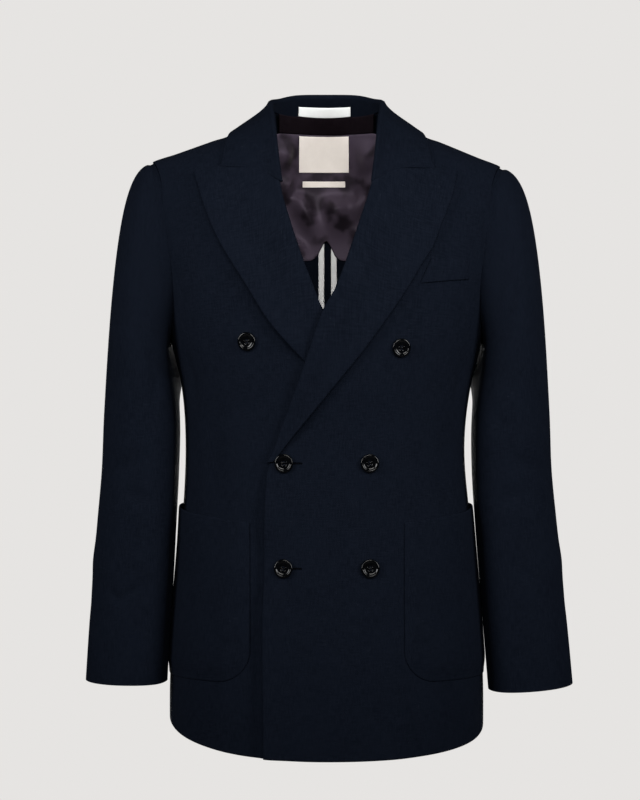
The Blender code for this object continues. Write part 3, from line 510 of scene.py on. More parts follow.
# How fine the yarns are: the weave's pitch, and its unevenness by threads to the metre, across
# a yarn and along it
THREAD_PITCH = 0.0011
YARNS = 900.0
YARN_RUN = 90.0
SLUB_RUN = 170.0
SLUB_EASE = (0.70, 0.84)
SLUB_SHARE = 0.36
WEAVE_DEPTH = 0.00012
SATIN_YARNS = 3200.0
SATIN_DEPTH = 0.00003
TAPE_YARNS = (1600.0, 400.0)
TAPE_DEPTH = 0.00008
HORN_DEPTH = 0.000012
SILK_DEPTH = 0.00005

# Camera and floor
CAMERA_PLACE = (-0.0078, -2.6, -0.3264)
CAMERA_LENS = 97.5
SENSOR_WIDTH = 36
WORLD_SEEN = rgb(0.791, 0.776, 0.761)
WORLD_LIGHT = rgb(0.04, 0.041, 0.044)
FLOOR_HEIGHT = -1.45
FLOOR_RADIUS = 3.0
FLOOR_SIDES = 96

# Lights: place, aim, size, beam in degrees, watts and colour
LIGHTS = (
    ("front", (0.1, -1.90, 0.65), (0, 0, -0.10), (1.2, 0.6), 60, 6.9, (1.0, 0.99, 0.97)),
    ("right", (1.45, -1.20, 0.28), (0, 0, -0.22), (0.7, 1.1), 70, 9.4, (0.98, 0.99, 1.0)),
    ("left", (-1.45, -1.20, 0.28), (0, 0, -0.22), (0.7, 1.1), 70, 9.0, (0.98, 0.99, 1.0)),
    ("back", (0.0, 2.40, -0.60), (0, 0.1, -0.35), (1.8, 0.9), 120, 42, (1.0, 1.0, 1.0)),
)


# Numbers and directions, one or many at a time


def lerp(a, b, share):
    return a + (b - a) * share


def ease(low, high, value):
    """0 below low, 1 above high and an S curve between."""
    share = np.clip((value - low) / (high - low), 0.0, 1.0)
    return share * share * (3 - 2 * share)


def bell(distance, wide):
    return np.exp(-((distance / wide) ** 2))


def hump(middle, wide, value):
    """1 at the middle, falling off to both sides."""
    return bell(value - middle, wide)


def smooth(rows, column, at):
    """The column's value where the first column has this value, on a curve through the rows."""
    keys = next(iter(rows.values()))
    values = rows[column]
    low = np.maximum(np.arange(len(keys)) - 1, 0)
    high = np.minimum(np.arange(len(keys)) + 1, len(keys) - 1)
    slopes = (values[high] - values[low]) / (keys[high] - keys[low])
    i = np.searchsorted(keys[1:-1], at, side="left")
    span = keys[i + 1] - keys[i]
    share = np.clip((at - keys[i]) / span, 0.0, 1.0)
    square = share * share
    cube = square * share
    inside = (
        values[i] * (2 * cube - 3 * square + 1)
        + values[i + 1] * (3 * square - 2 * cube)
        + slopes[i] * span * (cube - 2 * square + share)
        + slopes[i + 1] * span * (cube - square)
    )
    before = np.minimum(at - keys[0], 0.0) * slopes[0]
    after = np.maximum(at - keys[-1], 0.0) * slopes[-1]
    return inside + before + after


def point(x, y, z):
    return np.stack(np.broadcast_arrays(x, y, z), axis=-1).astype(float)


def dot(a, b):
    return (a * b).sum(axis=-1)


def length_of(direction):
    return np.linalg.norm(direction, axis=-1)


def unit(direction):
    return direction / length_of(direction)[..., None]


def along_it(direction, amount):
    return direction * np.asarray(amount)[..., None]


def bezier(first, second, third, last, share):
    """Points on the cubic curves with these control points."""
    rest = 1 - share
    return (
        along_it(first, rest**3)
        + along_it(second, 3 * rest**2 * share)
        + along_it(third, 3 * rest * share**2)
        + along_it(last, share**3)
    )


def between(low, high, is_low):
    """The value between low and high at which is_low stops being true."""
    for _ in range(HALVINGS):
        middle = (low + high) / 2
        below = is_low(middle)
        low = np.where(below, middle, low)
        high = np.where(below, high, middle)
    return middle


# The body surface: the inner face of the cloth


def climb(level):
    """The angle over the chest: 0 at the armpit, a quarter turn at the shoulder seam."""
    return np.maximum(level, 0.0) / YOKE * math.pi / 2


def half_width(level):
    low = smooth(BODY, "half_width", ARMPIT + np.minimum(level, 0.0)) - CLOTH
    return lerp(low, SHOULDER_HALF_WIDTH, np.sin(climb(level)))


def depth(level, facing):
    low = smooth(BODY, facing, ARMPIT + np.minimum(level, 0.0)) - CLOTH
    angle = climb(level)
    return low * np.cos(angle) + FULLNESS[facing] * np.sin(2 * angle)


def ridge(across):
    tilt = SHOULDER_TILT * ease(NECK_HALF_WIDTH, SHOULDER_HALF_WIDTH, np.abs(across))
    return smooth(RIDGE, "height", np.abs(across)) - tilt * across


def height_at(across, level):
    over = ARMPIT + np.sin(climb(level)) * (ridge(across) - ARMPIT)
    return np.where(level <= 0, ARMPIT + level, over)


def body_fold(turn, height):
    """How far the cloth stands out in its folds. A leaning one climbs towards the left side."""
    total = 0.0
    for at, level, wide, tall, deep, lean in zip(*BODY_FOLDS.values()):
        away = turn - at
        total = total + deep * bell(away, wide) * bell(height - level - lean * away, tall)
    return total


def body(turn, level):
    """The point of the body surface at this turn and level."""
    angle = turn * math.pi / 2
    sideways = np.sin(angle)
    x = half_width(level) * sideways
    along = (1 - np.minimum(np.abs(sideways), 1.0) ** SQUARENESS) ** (1 / SQUARENESS)
    is_front = np.cos(angle) >= 0
    direction = np.where(is_front, -along, along)
    deep = np.where(is_front, depth(level, "front"), depth(level, "back"))
    z = height_at(x, level)
    fold = body_fold(turn, z)
    return point(x + fold * sideways, (deep + fold) * direction, z)


def outward(turn, level, turn_step=0.003, level_step=0.0008):
    """The body surface's unit normal."""
    around = body(turn + turn_step, level) - body(turn - turn_step, level)
    up = body(turn, level + level_step) - body(turn, level - level_step)
    return unit(np.cross(around, up))


def on_body(turn, level, height):
    """A point this high above the body surface."""
    return body(turn, level) + along_it(outward(turn, level), height)


def turn_of(x, level, facing="front"):
    turn = np.arcsin(np.clip(x / half_width(level), -1.0, 1.0)) * 2 / math.pi
    return turn if facing == "front" else np.copysign(2.0, x) - turn


def level_of(share):
    """The level at this share of the height from the armpit to the shoulder seam."""
    return YOKE * np.arcsin(np.clip(share, 0.0, 1.0)) * 2 / math.pi


def station(x, z, facing="front"):
    """The turn and level of the body point at this width and height."""
    share = (z - ARMPIT) / (ridge(x) - ARMPIT)
    level = np.where(share > 0, level_of(share), z - ARMPIT)
    return turn_of(x, level, facing), level


def over_shoulder(x, y):
    """The turn and level of the upper body point straight above this place in plan."""

    def reach(level, facing):
        sideways = np.minimum(np.abs(x) / half_width(level), 1.0)
        return depth(level, facing) * (1 - sideways**SQUARENESS) ** (1 / SQUARENESS)

    is_front = y < 0
    low = np.zeros(np.broadcast(x, y).shape)
    level = between(
        low,
        low + YOKE,
        lambda at: np.where(is_front, reach(at, "front"), reach(at, "back")) > np.abs(y),
    )
    return np.where(is_front, turn_of(x, level, "front"), turn_of(x, level, "back")), level


def clear_of_body(spot, height, turn_step=0.002, level_step=0.001, below_ridge=0.003, pace=0.8):
    """The points, moved out where they are nearer than this height to the body surface."""
    x, is_front = spot[..., 0], spot[..., 1] < 0
    low = np.minimum(spot[..., 2], ridge(x) - below_ridge)
    ahead, level = station(x, low, "front")
    behind, _ = station(x, low, "back")
    turn = np.where(is_front, ahead, behind)
    for _ in range(NEAREST_STEPS):
        near = body(turn, level)
        around = (body(turn + turn_step, level) - near) / turn_step
        up = (body(turn, level + level_step) - near) / level_step
        gap = spot - near
        aa, uu, au = dot(around, around), dot(up, up), dot(around, up)
        ag, ug = dot(around, gap), dot(up, gap)
        whole = aa * uu - au * au
        turn = turn + pace * (ag * uu - ug * au) / whole
        level = np.minimum(level + pace * (ug * aa - ag * au) / whole, YOKE - level_step)
    normal = outward(turn, level)
    distance = dot(spot - body(turn, level), normal)
    return spot + along_it(normal, np.maximum(height - distance, 0.0))


def hem_level(turn):
    """The level of the hem at this turn."""
    facing = np.cos(turn * math.pi / 2)
    side_hem, roundness = (
        np.where(turn > 0, by_side["left"], by_side["right"])
        for by_side in (SIDE_HEM, FRONT_HEM_ROUNDNESS)
    )
    share = np.where(facing >= 0, np.abs(facing) ** roundness, np.abs(facing))
    return lerp(side_hem, np.where(facing >= 0, FRONT_HEM, BACK_HEM), share) - ARMPIT


# Making the pieces


def spread(count, first=3, last=3):
    """Places from 0 to 1, close over the first and last few so that an edge can round off."""
    steps = np.ones(count)
    for i, size in enumerate(EDGE_STEPS):
        if i < first:
            steps[i] = size
        if i < last:
            steps[-1 - i] = size
    places = np.concatenate(([0.0], np.cumsum(steps)))
    return places / places[-1]


def run_length(grid, axis):
    """The distance along the grid's lines from its first line to each of its points."""
    steps = length_of(np.diff(grid, axis=axis))
    first = np.zeros_like(np.take(steps, [0], axis=axis))
    return np.concatenate((first, np.cumsum(steps, axis=axis)), axis=axis)


def edge_profile(grid, edges):
    """The share of the full thickness at each point, for the left, right, low and high edge."""
    across, up = run_length(grid, 0), run_length(grid, 1)
    distances = (across, across[-1:] - across, up, up[:, -1:] - up)
    share = np.ones(grid.shape[:2])
    for edge, distance in zip(edges, distances):
        if edge:
            reach, least = edge
            rest = 1 - np.clip(distance / reach, 0.0, 1.0)
            share = share * (least + (1 - least) * np.sqrt(1 - rest * rest))
    return share


def shell(name, inner, outer, weave, edges):
    """A closed shell between two grids of points, its outer face rounded off at the edges."""
    share = edge_profile(outer, edges)[..., None]
    outer = inner + (outer - inner) * share
    columns, rows = outer.shape[:2]
    verts = np.concatenate((outer.reshape(-1, 3), inner.reshape(-1, 3)))
    place = np.arange(columns * rows).reshape(columns, rows)
    a, b, c, d = place[:-1, :-1], place[1:, :-1], place[1:, 1:], place[:-1, 1:]
    top = np.stack((a, b, c, d), axis=-1).reshape(-1, 4)
    under = top[:, ::-1] + columns * rows
    rim = np.concatenate(
        (place[:, 0], place[-1, 1:], place[-2::-1, -1], place[0, -2:0:-1])
    )
    after = np.roll(rim, -1)
    side = np.stack((after, rim, rim + columns * rows, after + columns * rows), axis=-1)
    quads = np.concatenate((top, under, side))
    mesh = bpy.data.meshes.new(name)
    mesh.from_pydata(verts.tolist(), [], quads.tolist())
    centre = verts[quads].mean(axis=1)
    one, two = verts[quads[:, 2]] - verts[quads[:, 0]], verts[quads[:, 3]] - verts[quads[:, 1]]
    if dot(centre, np.cross(one, two)).sum() < 0:
        mesh.flip_normals()
    layer = mesh.uv_layers.new(name="weave")
    corners = np.empty(len(mesh.loops), int)
    mesh.loops.foreach_get("vertex_index", corners)
    flat = np.concatenate((weave.reshape(-1, 2), weave.reshape(-1, 2)))
    layer.data.foreach_set("uv", flat[corners].ravel())
    mesh.shade_smooth()
    mesh.update()
    return mesh


def piece(name, mesh, look, replaces=()):
    """An object of the coat, which stands for these nodes."""
    mesh.materials.append(look)
    made = bpy.data.objects.new(name, mesh)
    BLAZER.objects.link(made)
    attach(made, "root")
    if replaces:
        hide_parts(*replaces)
    return made


def cloth(node, u, v, lay, look, edges=(FREE,) * 4):
    """The cloth that stands for a node: lay(u, v) gives its two faces and places in the weave."""
    faces = lay(*np.meshgrid(u, v, indexing="ij"))
    mesh = shell(f"{node}_cloth", *faces, edges)
    made = piece(f"{node}_cloth", mesh, look, (node,))
    return made


def wall(turn, level, low=0.0, high=CLOTH):
    """The two faces of a wall between these heights above the body surface."""
    spot = body(turn, level)
    normal = outward(turn, level)
    return spot + along_it(normal, low), spot + along_it(normal, high)


def body_weave(turn, level):
    return np.stack((turn * TURN_LENGTH, level + 0.0 * turn), axis=-1)


# Fronts, sides and back


def sign(side):
    return 1 if side == "left" else -1


def mirror(side):
    """Factors that turn a point of the wearer's left side into one of this side, and back."""
    return np.array((sign(side), 1.0, 1.0))


def overlap_lift(x, z):
    """How far the left front is held out by the right front and its lapel underneath."""
    under = 1 - ease(*OVERLAP_TOP, z)
    over_front = OVERLAP_LIFT * (1 - ease(*OVERLAP_FADE, x))
    over_lapel = LAPEL_LIFT * (1 - ease(*LAPEL_LIFT_FADE, x)) * ease(*LAPEL_LIFT_FOOT, z)
    return under * (over_front + over_lapel)


def edge_lift(x, z):
    """How far the left front's free edge stands off, between and below its buttons."""
    below = 1 - ease(*EDGE_LIFT_TOP, z)
    from_button = np.minimum(np.abs(z - LOWER_ROW), np.abs(z - UPPER_ROW))
    near = 1 - ease(*EDGE_LIFT_FADE, x)
    return below * near * lerp(*EDGE_LIFT, ease(*FROM_BUTTON, from_button))


def lift(side, x, z):
    if side == "right":
        return 0.0 * x
    return overlap_lift(x, z) + edge_lift(x, z)


def cloth_edge(side, z):
    """Where a front's cloth ends, measured towards its own side."""
    return smooth(EDGE, side, z) + FOLD_INSET * ease(*FOLD_FOOT, z)


def armhole_round(level):
    """Degrees round the armhole at this level, from the shoulder tip down."""
    return np.degrees(np.arccos(np.clip(2 * np.sin(climb(level)) - 1, -1, 1)))


def armhole_level(round_):
    share = (1 + np.cos(np.radians(round_))) / 2
    return level_of(np.minimum(share, SHORT_OF_TIP))


def armhole_turn(facing, level):
    return smooth(ARMHOLE, facing, armhole_round(level))


def underlap(level):
    """How far the armhole's edge runs on beneath the sleeve below the shoulder, as a turn."""
    return UNDERLAP * ease(*UNDERLAP_ROUND, armhole_round(level))


def seam_join(facing, seam):
    """The level at which the side seam runs into the armhole."""
    is_front = facing == "front"
    return between(0.0, YOKE / 2, lambda level: (armhole_turn(facing, level) > seam) == is_front)


def level_at(v, turn, join, top):
    """Levels from the hem at this turn up to the top, in rows that are close over the chest."""
    middle = ROW_CHANGE - ARMPIT
    first = lerp(hem_level(np.float64(turn)), middle, v / LOW_ROWS)
    second = lerp(middle, join, (v - LOW_ROWS) / (JOIN_ROWS - LOW_ROWS))
    third = lerp(join, top, (v - JOIN_ROWS) / (1 - JOIN_ROWS))
    return np.where(v < LOW_ROWS, first, np.where(v < JOIN_ROWS, second, third))


def hemmed(level, turn, start):
    """The level of rows that start at one turn's hem, moved so that the lowest follows the hem."""
    base = hem_level(np.float64(start))
    fade = np.maximum(1 - (level - base) / HEM_FADE, 0.0) ** 2
    return level + (hem_level(turn) - base) * fade


def front(side):
    """A front from its lapel's fold and free edge to the side seam and the armhole."""
    join = seam_join("front", FRONT_SEAM)

    def lay(u, v):
        level = level_at(v, 0, join, YOKE - SEAM)
        x = 0.0 * level
        for _ in range(EDGE_TRIALS):
            x = cloth_edge(side, height_at(sign(side) * x, level))
        armhole_edge = np.minimum(armhole_turn("front", level) + underlap(level), FRONT_SEAM)
        outer = np.where(level > join, armhole_edge, FRONT_SEAM) - SEAM_TURN
        turn = lerp(turn_of(x, level), outer, u)
        level = hemmed(level, sign(side) * turn, 0)
        spot = body(turn, level)
        held_out = lift(side, spot[..., 0], spot[..., 2])
        faces = wall(sign(side) * turn, level, held_out, held_out + CLOTH)
        return *faces, body_weave(sign(side) * turn, level)

    rows = level_rows(208)
    cloth(f"front_{side}", spread(76), rows, lay, COAT, edges=(FREE, SEWN, FREE, SEWN))


def level_rows(count):
    """Rows for level_at, spaced so that the cloth's squares are about the same height."""
    return np.interp(spread(count), EVEN_ROWS, (0.0, LOW_ROWS, JOIN_ROWS, 1.0))


def side_body(side):
    """The panel under an arm, whose top follows the armhole."""

    def lay(u, v):
        turn = lerp(FRONT_SEAM + SEAM_TURN, BACK_SEAM - SEAM_TURN, u)
        is_front = turn < 1

        def below(round_):
            ahead = smooth(ARMHOLE, "front", round_) < turn
            behind = smooth(ARMHOLE, "back", round_) > turn
            return np.where(is_front, ahead, behind)

        top = armhole_level(between(90.0 + 0.0 * turn, 180.0 + 0.0 * turn, below))
        turn = turn * sign(side)
        level = lerp(hem_level(turn), top + SIDE_UNDERLAP, v)
        return *wall(turn, level), body_weave(turn, level)

    cloth(f"side_{side}", spread(30), spread(150), lay, COAT, edges=(SEWN, SEWN, FREE, SEWN))


def neck_level(turn):
    """The level of the back neck seam at this turn."""
    low = 0.0 * turn
    return between(low, low + YOKE - SEAM, lambda at: body(turn, at)[..., 2] < NECK_HEIGHT)


def back(side):
    """One half of the back, from the side seam and armhole to the centre seam, up to the neck."""
    join = seam_join("back", BACK_SEAM)
    neck = turn_of(NECK_HALF_WIDTH, YOKE, "back")
    middle = 2 + SEAM_TURN

    def lay(u, v):
        level = level_at(v, 2, join, YOKE - SEAM)
        armhole_edge = np.maximum(armhole_turn("back", level) - underlap(level), BACK_SEAM)
        outer = np.where(level > join, armhole_edge, BACK_SEAM) + SEAM_TURN
        at_side = lerp(outer, neck, u / BACK_SPLIT)
        at_middle = lerp(neck, middle, (u - BACK_SPLIT) / (1 - BACK_SPLIT))
        turn = np.where(u < BACK_SPLIT, at_side, at_middle)
        top = np.where(u < BACK_SPLIT, YOKE - SEAM, neck_level(at_middle))
        level = level_at(v, 2, join, top)
        turn = turn * sign(side)
        level = hemmed(level, turn, 2)
        return *wall(turn, level), body_weave(turn, level)

    rows = level_rows(200)
    cloth(f"back_{side}", spread(66), rows, lay, COAT, edges=(SEWN, SEWN, FREE, SEWN))


# Lapels, which turn over the edge of each front


def gorge_bend(share):
    """The gorge's rise above a straight line from the fold (0) to the notch (1)."""
    away = np.minimum(share / GORGE_PEAK, (1 - share) / (1 - GORGE_PEAK))
    blunt, wide = GORGE_ROUNDNESS
    bend = GORGE_RISE * away * (1 - blunt * bell(share - GORGE_PEAK, wide))
    return np.where((share > 0) & (share < 1), bend, 0.0)


def lapel_rise(side, share, over, v):
    """How far the leaf lies off the chest, in its roll, a low belly and the free outer edge."""
    roll = LAID + (2 * LAPEL_ROLL - LAID) * bell(over, ROLL_FADE)
    spring = LAPEL_SPRING * ease(*SPRING_ACROSS, share)
    free = ease(*LAPEL_EDGE_FROM, share) * ease(*EDGE_STARTS, v)
    free = free * (1 - EDGE_END_LOSS * ease(*EDGE_ENDS, v))
    belly = hump(*BELLY_AT, share) * ease(*BELLY_STARTS, v) * (1 - ease(*BELLY_ENDS, v))
    return roll + spring + LAPEL_EDGE[side] * free + LAPEL_BELLY * belly


def lapel(side, rows, row_count):
    """A lapel from inside the front, round its folded edge and over the chest to the free edge."""
    last = rows["row"][-1]
    corner = np.array(NOTCH[side])
    wrap, over_notch, past_notch = 4, 6, 2
    leaf = over_notch + past_notch

    def leaf_share(column, notch, v):
        """The way from the fold to the outer edge, with a line of the cloth held at the notch."""
        near = lerp(1.0, notch / (over_notch / leaf), ease(*NOTCH_LINE_STARTS, v))
        share = (column - wrap) / leaf * near
        past = lerp(over_notch / leaf * near, 1.0, (column - wrap - over_notch) / past_notch)
        return np.maximum(np.where(column - wrap <= over_notch, share, past), 0.0)

    def lay(u, v):
        row = v * last
        fold = smooth(rows, "fold", row)
        start = np.stack((cloth_edge(side, fold), fold), axis=-1)
        end = np.stack((smooth(rows, "across", row), smooth(rows, "height", row)), axis=-1)
        length = length_of(end - start)
        along = unit(end - start)
        column = np.interp(u, LAPEL_COLUMNS, (0, wrap, wrap + over_notch, wrap + leaf))
        notch = length_of(corner - start) / length
        share = leaf_share(column, notch, v)
        over = share * length
        rise = lapel_rise(side, share, over, v)
        gap = FOLD_GAP * lerp(LOWER_FOLD_GAP, 1, ease(*LOWER_FOLD_ROWS, row))
        angle = np.clip(column / wrap, 0.0, 1.0) * math.pi
        is_wrap = column <= wrap
        round_over = -gap - LAPEL_ROLL * np.sin(angle)
        round_high = CLOTH + LAPEL_ROLL - LAPEL_ROLL * np.cos(angle)

        top = ease(*GORGE_STARTS, v) ** 2
        near_notch = np.minimum(notch, LAST_NOTCH)
        tent = np.minimum(share / near_notch, (1 - share) / (1 - near_notch))
        upright = along_it(corner - (start + along_it(along, notch * length)), top * tent)
        gap_above = lerp(GORGE_OVERLAP, GORGE_GAP, ease(*GORGE_PARTS, share / notch))
        bend = gorge_bend(share / notch) * top - gap_above * ease(*GORGE_SEAM_STARTS, v)

        def face(thickness):
            around = np.where(is_wrap, round_over - thickness * np.sin(angle), over)
            turned = round_high - thickness * np.cos(angle)
            spot = start + along_it(along, around) + upright
            x, z = spot[..., 0], spot[..., 1] + bend
            turn, level = station(sign(side) * x, z)
            above = np.where(is_wrap, turned, CLOTH + thickness + rise) + lift(side, x, z)
            return on_body(turn, level, above), body_weave(turn, level)

        low, weave = face(0.0)
        high, _ = face(CLOTH)
        return low, high, weave

    first = LAPEL_COLUMNS[1]
    wrapped = np.linspace(0, first, WRAP_LINES)[:-1]
    across = np.concatenate((wrapped, first + (1 - first) * spread(56, 0, 3)))
    cloth(f"lapel_{side}", across, spread(row_count), lay, COAT, edges=(None, FREE, FREE, SEWN))


# Collar, stand and leaf in one


def neck_point(side, along):
    """The outer face of the neck edge, where the collar starts."""
    z = smooth(COLLAR, "neck_z", along)
    behind = sign(side) * np.maximum(NECK_HALF_WIDTH * np.sin(along * math.pi), OFF_CENTRE)
    ahead = sign(side) * cloth_edge(side, z)
    turn_behind, level_behind = station(behind, np.minimum(z, ridge(behind) - SEAM), "back")
    turn_ahead, level_ahead = station(ahead, np.minimum(z, ridge(ahead) - SEAM))
    is_back = along <= 0.5
    turn = np.where(is_back, turn_behind, turn_ahead)
    return on_body(turn, np.where(is_back, level_behind, level_ahead), CLOTH)


def fold_point(share):
    return point(*(smooth(COLLAR, key, share) for key in ("fold_x", "fold_y", "fold_z")))


def half_collar(side, column, share, step=0.01):
    """The hidden face of one half of the collar: up the stand, over the fold and down the leaf."""
    neck = neck_point(side, share)
    fold = fold_point(share)
    path = unit(fold_point(share + step) - fold)
    path[share < step] = (1.0, 0.0, 0.0)
    fold, path = fold * mirror(side), path * mirror(side)
    up = unit(fold - neck)
    out = unit(np.cross(up, path)) * sign(side)
    radius = smooth(COLLAR, "radius", share)
    centre = fold - along_it(up, CLOTH + radius)

    foot = neck + along_it(up, lerp(*COLLAR_SEAM, ease(*COLLAR_SEAM_STARTS, share)))
    climbing = foot + along_it(centre - along_it(out, radius) - foot, column / STAND_LINES)

    angle = (column - STAND_LINES) / TURN_LINES * math.pi
    turning = centre - along_it(out, radius * np.cos(angle)) + along_it(up, radius * np.sin(angle))

    start = centre + along_it(out, radius)
    to_notch = ease(*NOTCH_STARTS, share)
    edge_x, edge_y = smooth(COLLAR, "edge_x", share), smooth(COLLAR, "edge_y", share)
    edge_x = edge_x + (NOTCH[side][0] - COLLAR["edge_x"][-1]) * to_notch
    turn, level = over_shoulder(sign(side) * np.maximum(edge_x, OFF_CENTRE), edge_y)
    edge = body(turn, level)
    gorge_z = lerp(edge[..., 2], NOTCH[side][1], to_notch)
    turn_ahead, level_ahead = station(edge[..., 0], gorge_z)
    is_front = share > 0.5
    laid = CLOTH + LAID + LEAF_GAP + LEAF_LIFT * hump(*LEAF_LIFT_AT, share)
    turn, level = np.where(is_front, turn_ahead, turn), np.where(is_front, level_ahead, level)
    end = on_body(turn, level, laid)
    length = length_of(end - start)
    droop, swell = LEAF_SPRING
    spring = start - along_it(up, droop * length) + along_it(out, swell * length)
    down = np.clip((column - STAND_LINES - TURN_LINES) / LEAF_LINES, 0.0, 1.0)
    falling = bezier(start, spring, lerp(end, start, LEAF_LANDING), end, down)
    bend = gorge_bend(down) * ease(*LEAF_BEND_STARTS, share) ** 2
    falling = clear_of_body(falling + point(0.0, LEAF_BEND_BACK * bend, bend), laid)

    is_stand = (column <= STAND_LINES)[..., None]
    is_turn = (column <= STAND_LINES + TURN_LINES)[..., None]
    return np.where(is_stand, climbing, np.where(is_turn, turning, falling))


def collar_base(column, along):
    column, along = np.broadcast_arrays(column, along)
    made = np.empty(along.shape + (3,))
    for side, here in (("left", along >= 0), ("right", along < 0)):
        made[here] = half_collar(side, column[here], np.abs(along[here]))
    return made


def collar_normal(column, along, column_step=0.1, along_step=0.02):
    def at(column, along):
        return collar_base(np.clip(column, 0.0, COLLAR_LINES), np.clip(along, -1.0, 1.0))

    across = at(column + column_step, along) - at(column - column_step, along)
    ahead = at(column, along + along_step) - at(column, along - along_step)
    return unit(np.cross(across, ahead))


def collar():
    """Stand and leaf in one piece, from one gorge round the back neck to the other."""

    def lay(u, v):
        along = lerp(-1.0, 1.0, v)
        lines = (0, STAND_LINES, STAND_LINES + TURN_LINES, COLLAR_LINES)
        column = np.interp(u, COLLAR_COLUMNS, lines)
        base = collar_base(column, along)
        outer = base - along_it(collar_normal(column, along), CLOTH)
        return base, outer, np.stack((along, u), axis=-1) * COLLAR_SPAN

    cloth("collar", spread(56, 1, 3), spread(190), lay, COAT, edges=(None, FREE, SEWN, SEWN))


# Sleeves


def armhole(side, round_):
    """A point of the armhole and the body's normal there, as if on the wearer's left."""
    round_ = round_ % 360
    is_front = round_ <= 180
    folded = np.where(is_front, round_, 360 - round_)
    level = armhole_level(folded)
    ahead, behind = smooth(ARMHOLE, "front", folded), smooth(ARMHOLE, "back", folded)
    turn = sign(side) * np.where(is_front, ahead, behind)
    return body(turn, level) * mirror(side), outward(turn, level) * mirror(side)


def sleeve_crease(side, round_, height):
    total = 0.0
    for at, level, wide, tall, deep, lean in zip(*SLEEVE_CREASES[side].values()):
        away = (round_ - at + 180) % 360 - 180
        sloped = height - level - lean * np.radians(away) * CREASE_REACH
        total = total + deep * bell(away, wide) * bell(sloped, tall)
    return total


def sleeve_ring(side, round_, height):
    """A point of the sleeve's inner face below the cap, as if on the wearer's left."""
    inside = smooth(SLEEVE, f"{side}_in", height) + CLOTH
    outside = smooth(SLEEVE, f"{side}_out", height) - CLOTH
    near = smooth(SLEEVE, "front", height) + CLOTH
    far = smooth(SLEEVE, "back", height) - CLOTH
    angle = np.radians(round_)
    crease = sleeve_crease(side, round_ % 360, height)
    x = (inside + outside) / 2 + ((outside - inside) / 2 + crease) * np.cos(angle)
    y = (near + far) / 2 - ((far - near) / 2 + crease) * np.sin(angle)
    return point(x, y, height)


def sleeve_cap(side, round_, along):
    """A point of the sleeve's inner face over the cap, from the armhole (0) to its end (1)."""
    folded = np.minimum(round_ % 360, 360 - round_ % 360)
    spot, normal = armhole(side, round_)
    ahead = armhole(side, round_ + 2)[0] - armhole(side, round_ - 2)[0]
    into = unit(np.cross(normal, ahead))
    middle = body(np.float64(1.0), np.float64(YOKE / 3))
    into = np.where((dot(into, middle - spot) < 0)[..., None], -into, into)
    away = np.radians(smooth(SLEEVE_HEAD, "angle", folded))
    leave = along_it(into, np.cos(away)) + along_it(normal, np.sin(away))
    start = spot + along_it(into, SEAM + HEAD_CLEARANCE * np.sin(away))
    start = start + along_it(normal, HEAD_LIFT * (1 - np.cos(away)))
    end = sleeve_ring(side, round_, CAP_END)
    up = unit(end - sleeve_ring(side, round_, CAP_END - 0.01))
    first = start + along_it(leave, smooth(SLEEVE_HEAD, "start", folded))
    second = end + along_it(up, smooth(SLEEVE_HEAD, "end", folded) * HEAD_FULLNESS[side])
    return bezier(start, first, second, end, along)


def sleeve_point(side, round_, along):
    """A point of the sleeve's inner face: along is below 1 over the cap and 2 at the cuff."""
    round_, along = np.broadcast_arrays(round_, along)
    cuff = CUFF_HEIGHT[side] - CUFF_BOW * np.sin(np.radians(round_))
    cuff = cuff + CUFF_TILT[side] * np.cos(np.radians(round_))
    lower = sleeve_ring(side, round_, lerp(CAP_END, cuff, np.maximum(along - 1, 0.0)))
    cap = sleeve_cap(side, round_, np.minimum(along, 1.0))
    return np.where((along > 1)[..., None], lower, cap)


def sleeve_wall(side, round_, along, step=0.01):
    """The two faces of a sleeve, with the small ridge that stands along its head's seam."""

    def at(round_, along):
        return sleeve_point(side, round_, np.clip(along, 0.0, 2.0))

    around = at(round_ + 1, along) - at(round_ - 1, along)
    down = at(round_, along + step) - at(round_, along - step)
    normal = unit(np.cross(down, around))
    over_top = ease(*ROPE_OVER_TOP, np.cos(np.radians(round_)))
    roped = HEAD_ROPE * hump(*ROPE_AT, along) * over_top
    spot = at(round_, along) + along_it(normal, roped)
    return spot * mirror(side), (spot + along_it(normal, CLOTH)) * mirror(side)


def sleeve(side, part, columns, first_seam, last_seam):
    """The top or the under part of a sleeve, between its two seams."""

    def lay(u, v):
        along = np.interp(v, (0.0, CAP_SHARE, 1.0), (0.0, 1.0, 2.0))
        round_ = lerp(first_seam + SLEEVE_SEAM_TURN, last_seam - SLEEVE_SEAM_TURN, u)
        weave = np.stack((round_ / 360 * sign(side), along), axis=-1) * SLEEVE_SPAN
        return *sleeve_wall(side, round_, along), weave

    edges = (SEWN, SEWN, SUNK, FREE)
    cloth(f"{part}_sleeve_{side}", spread(columns), spread(190), lay, COAT, edges=edges)


# Pockets


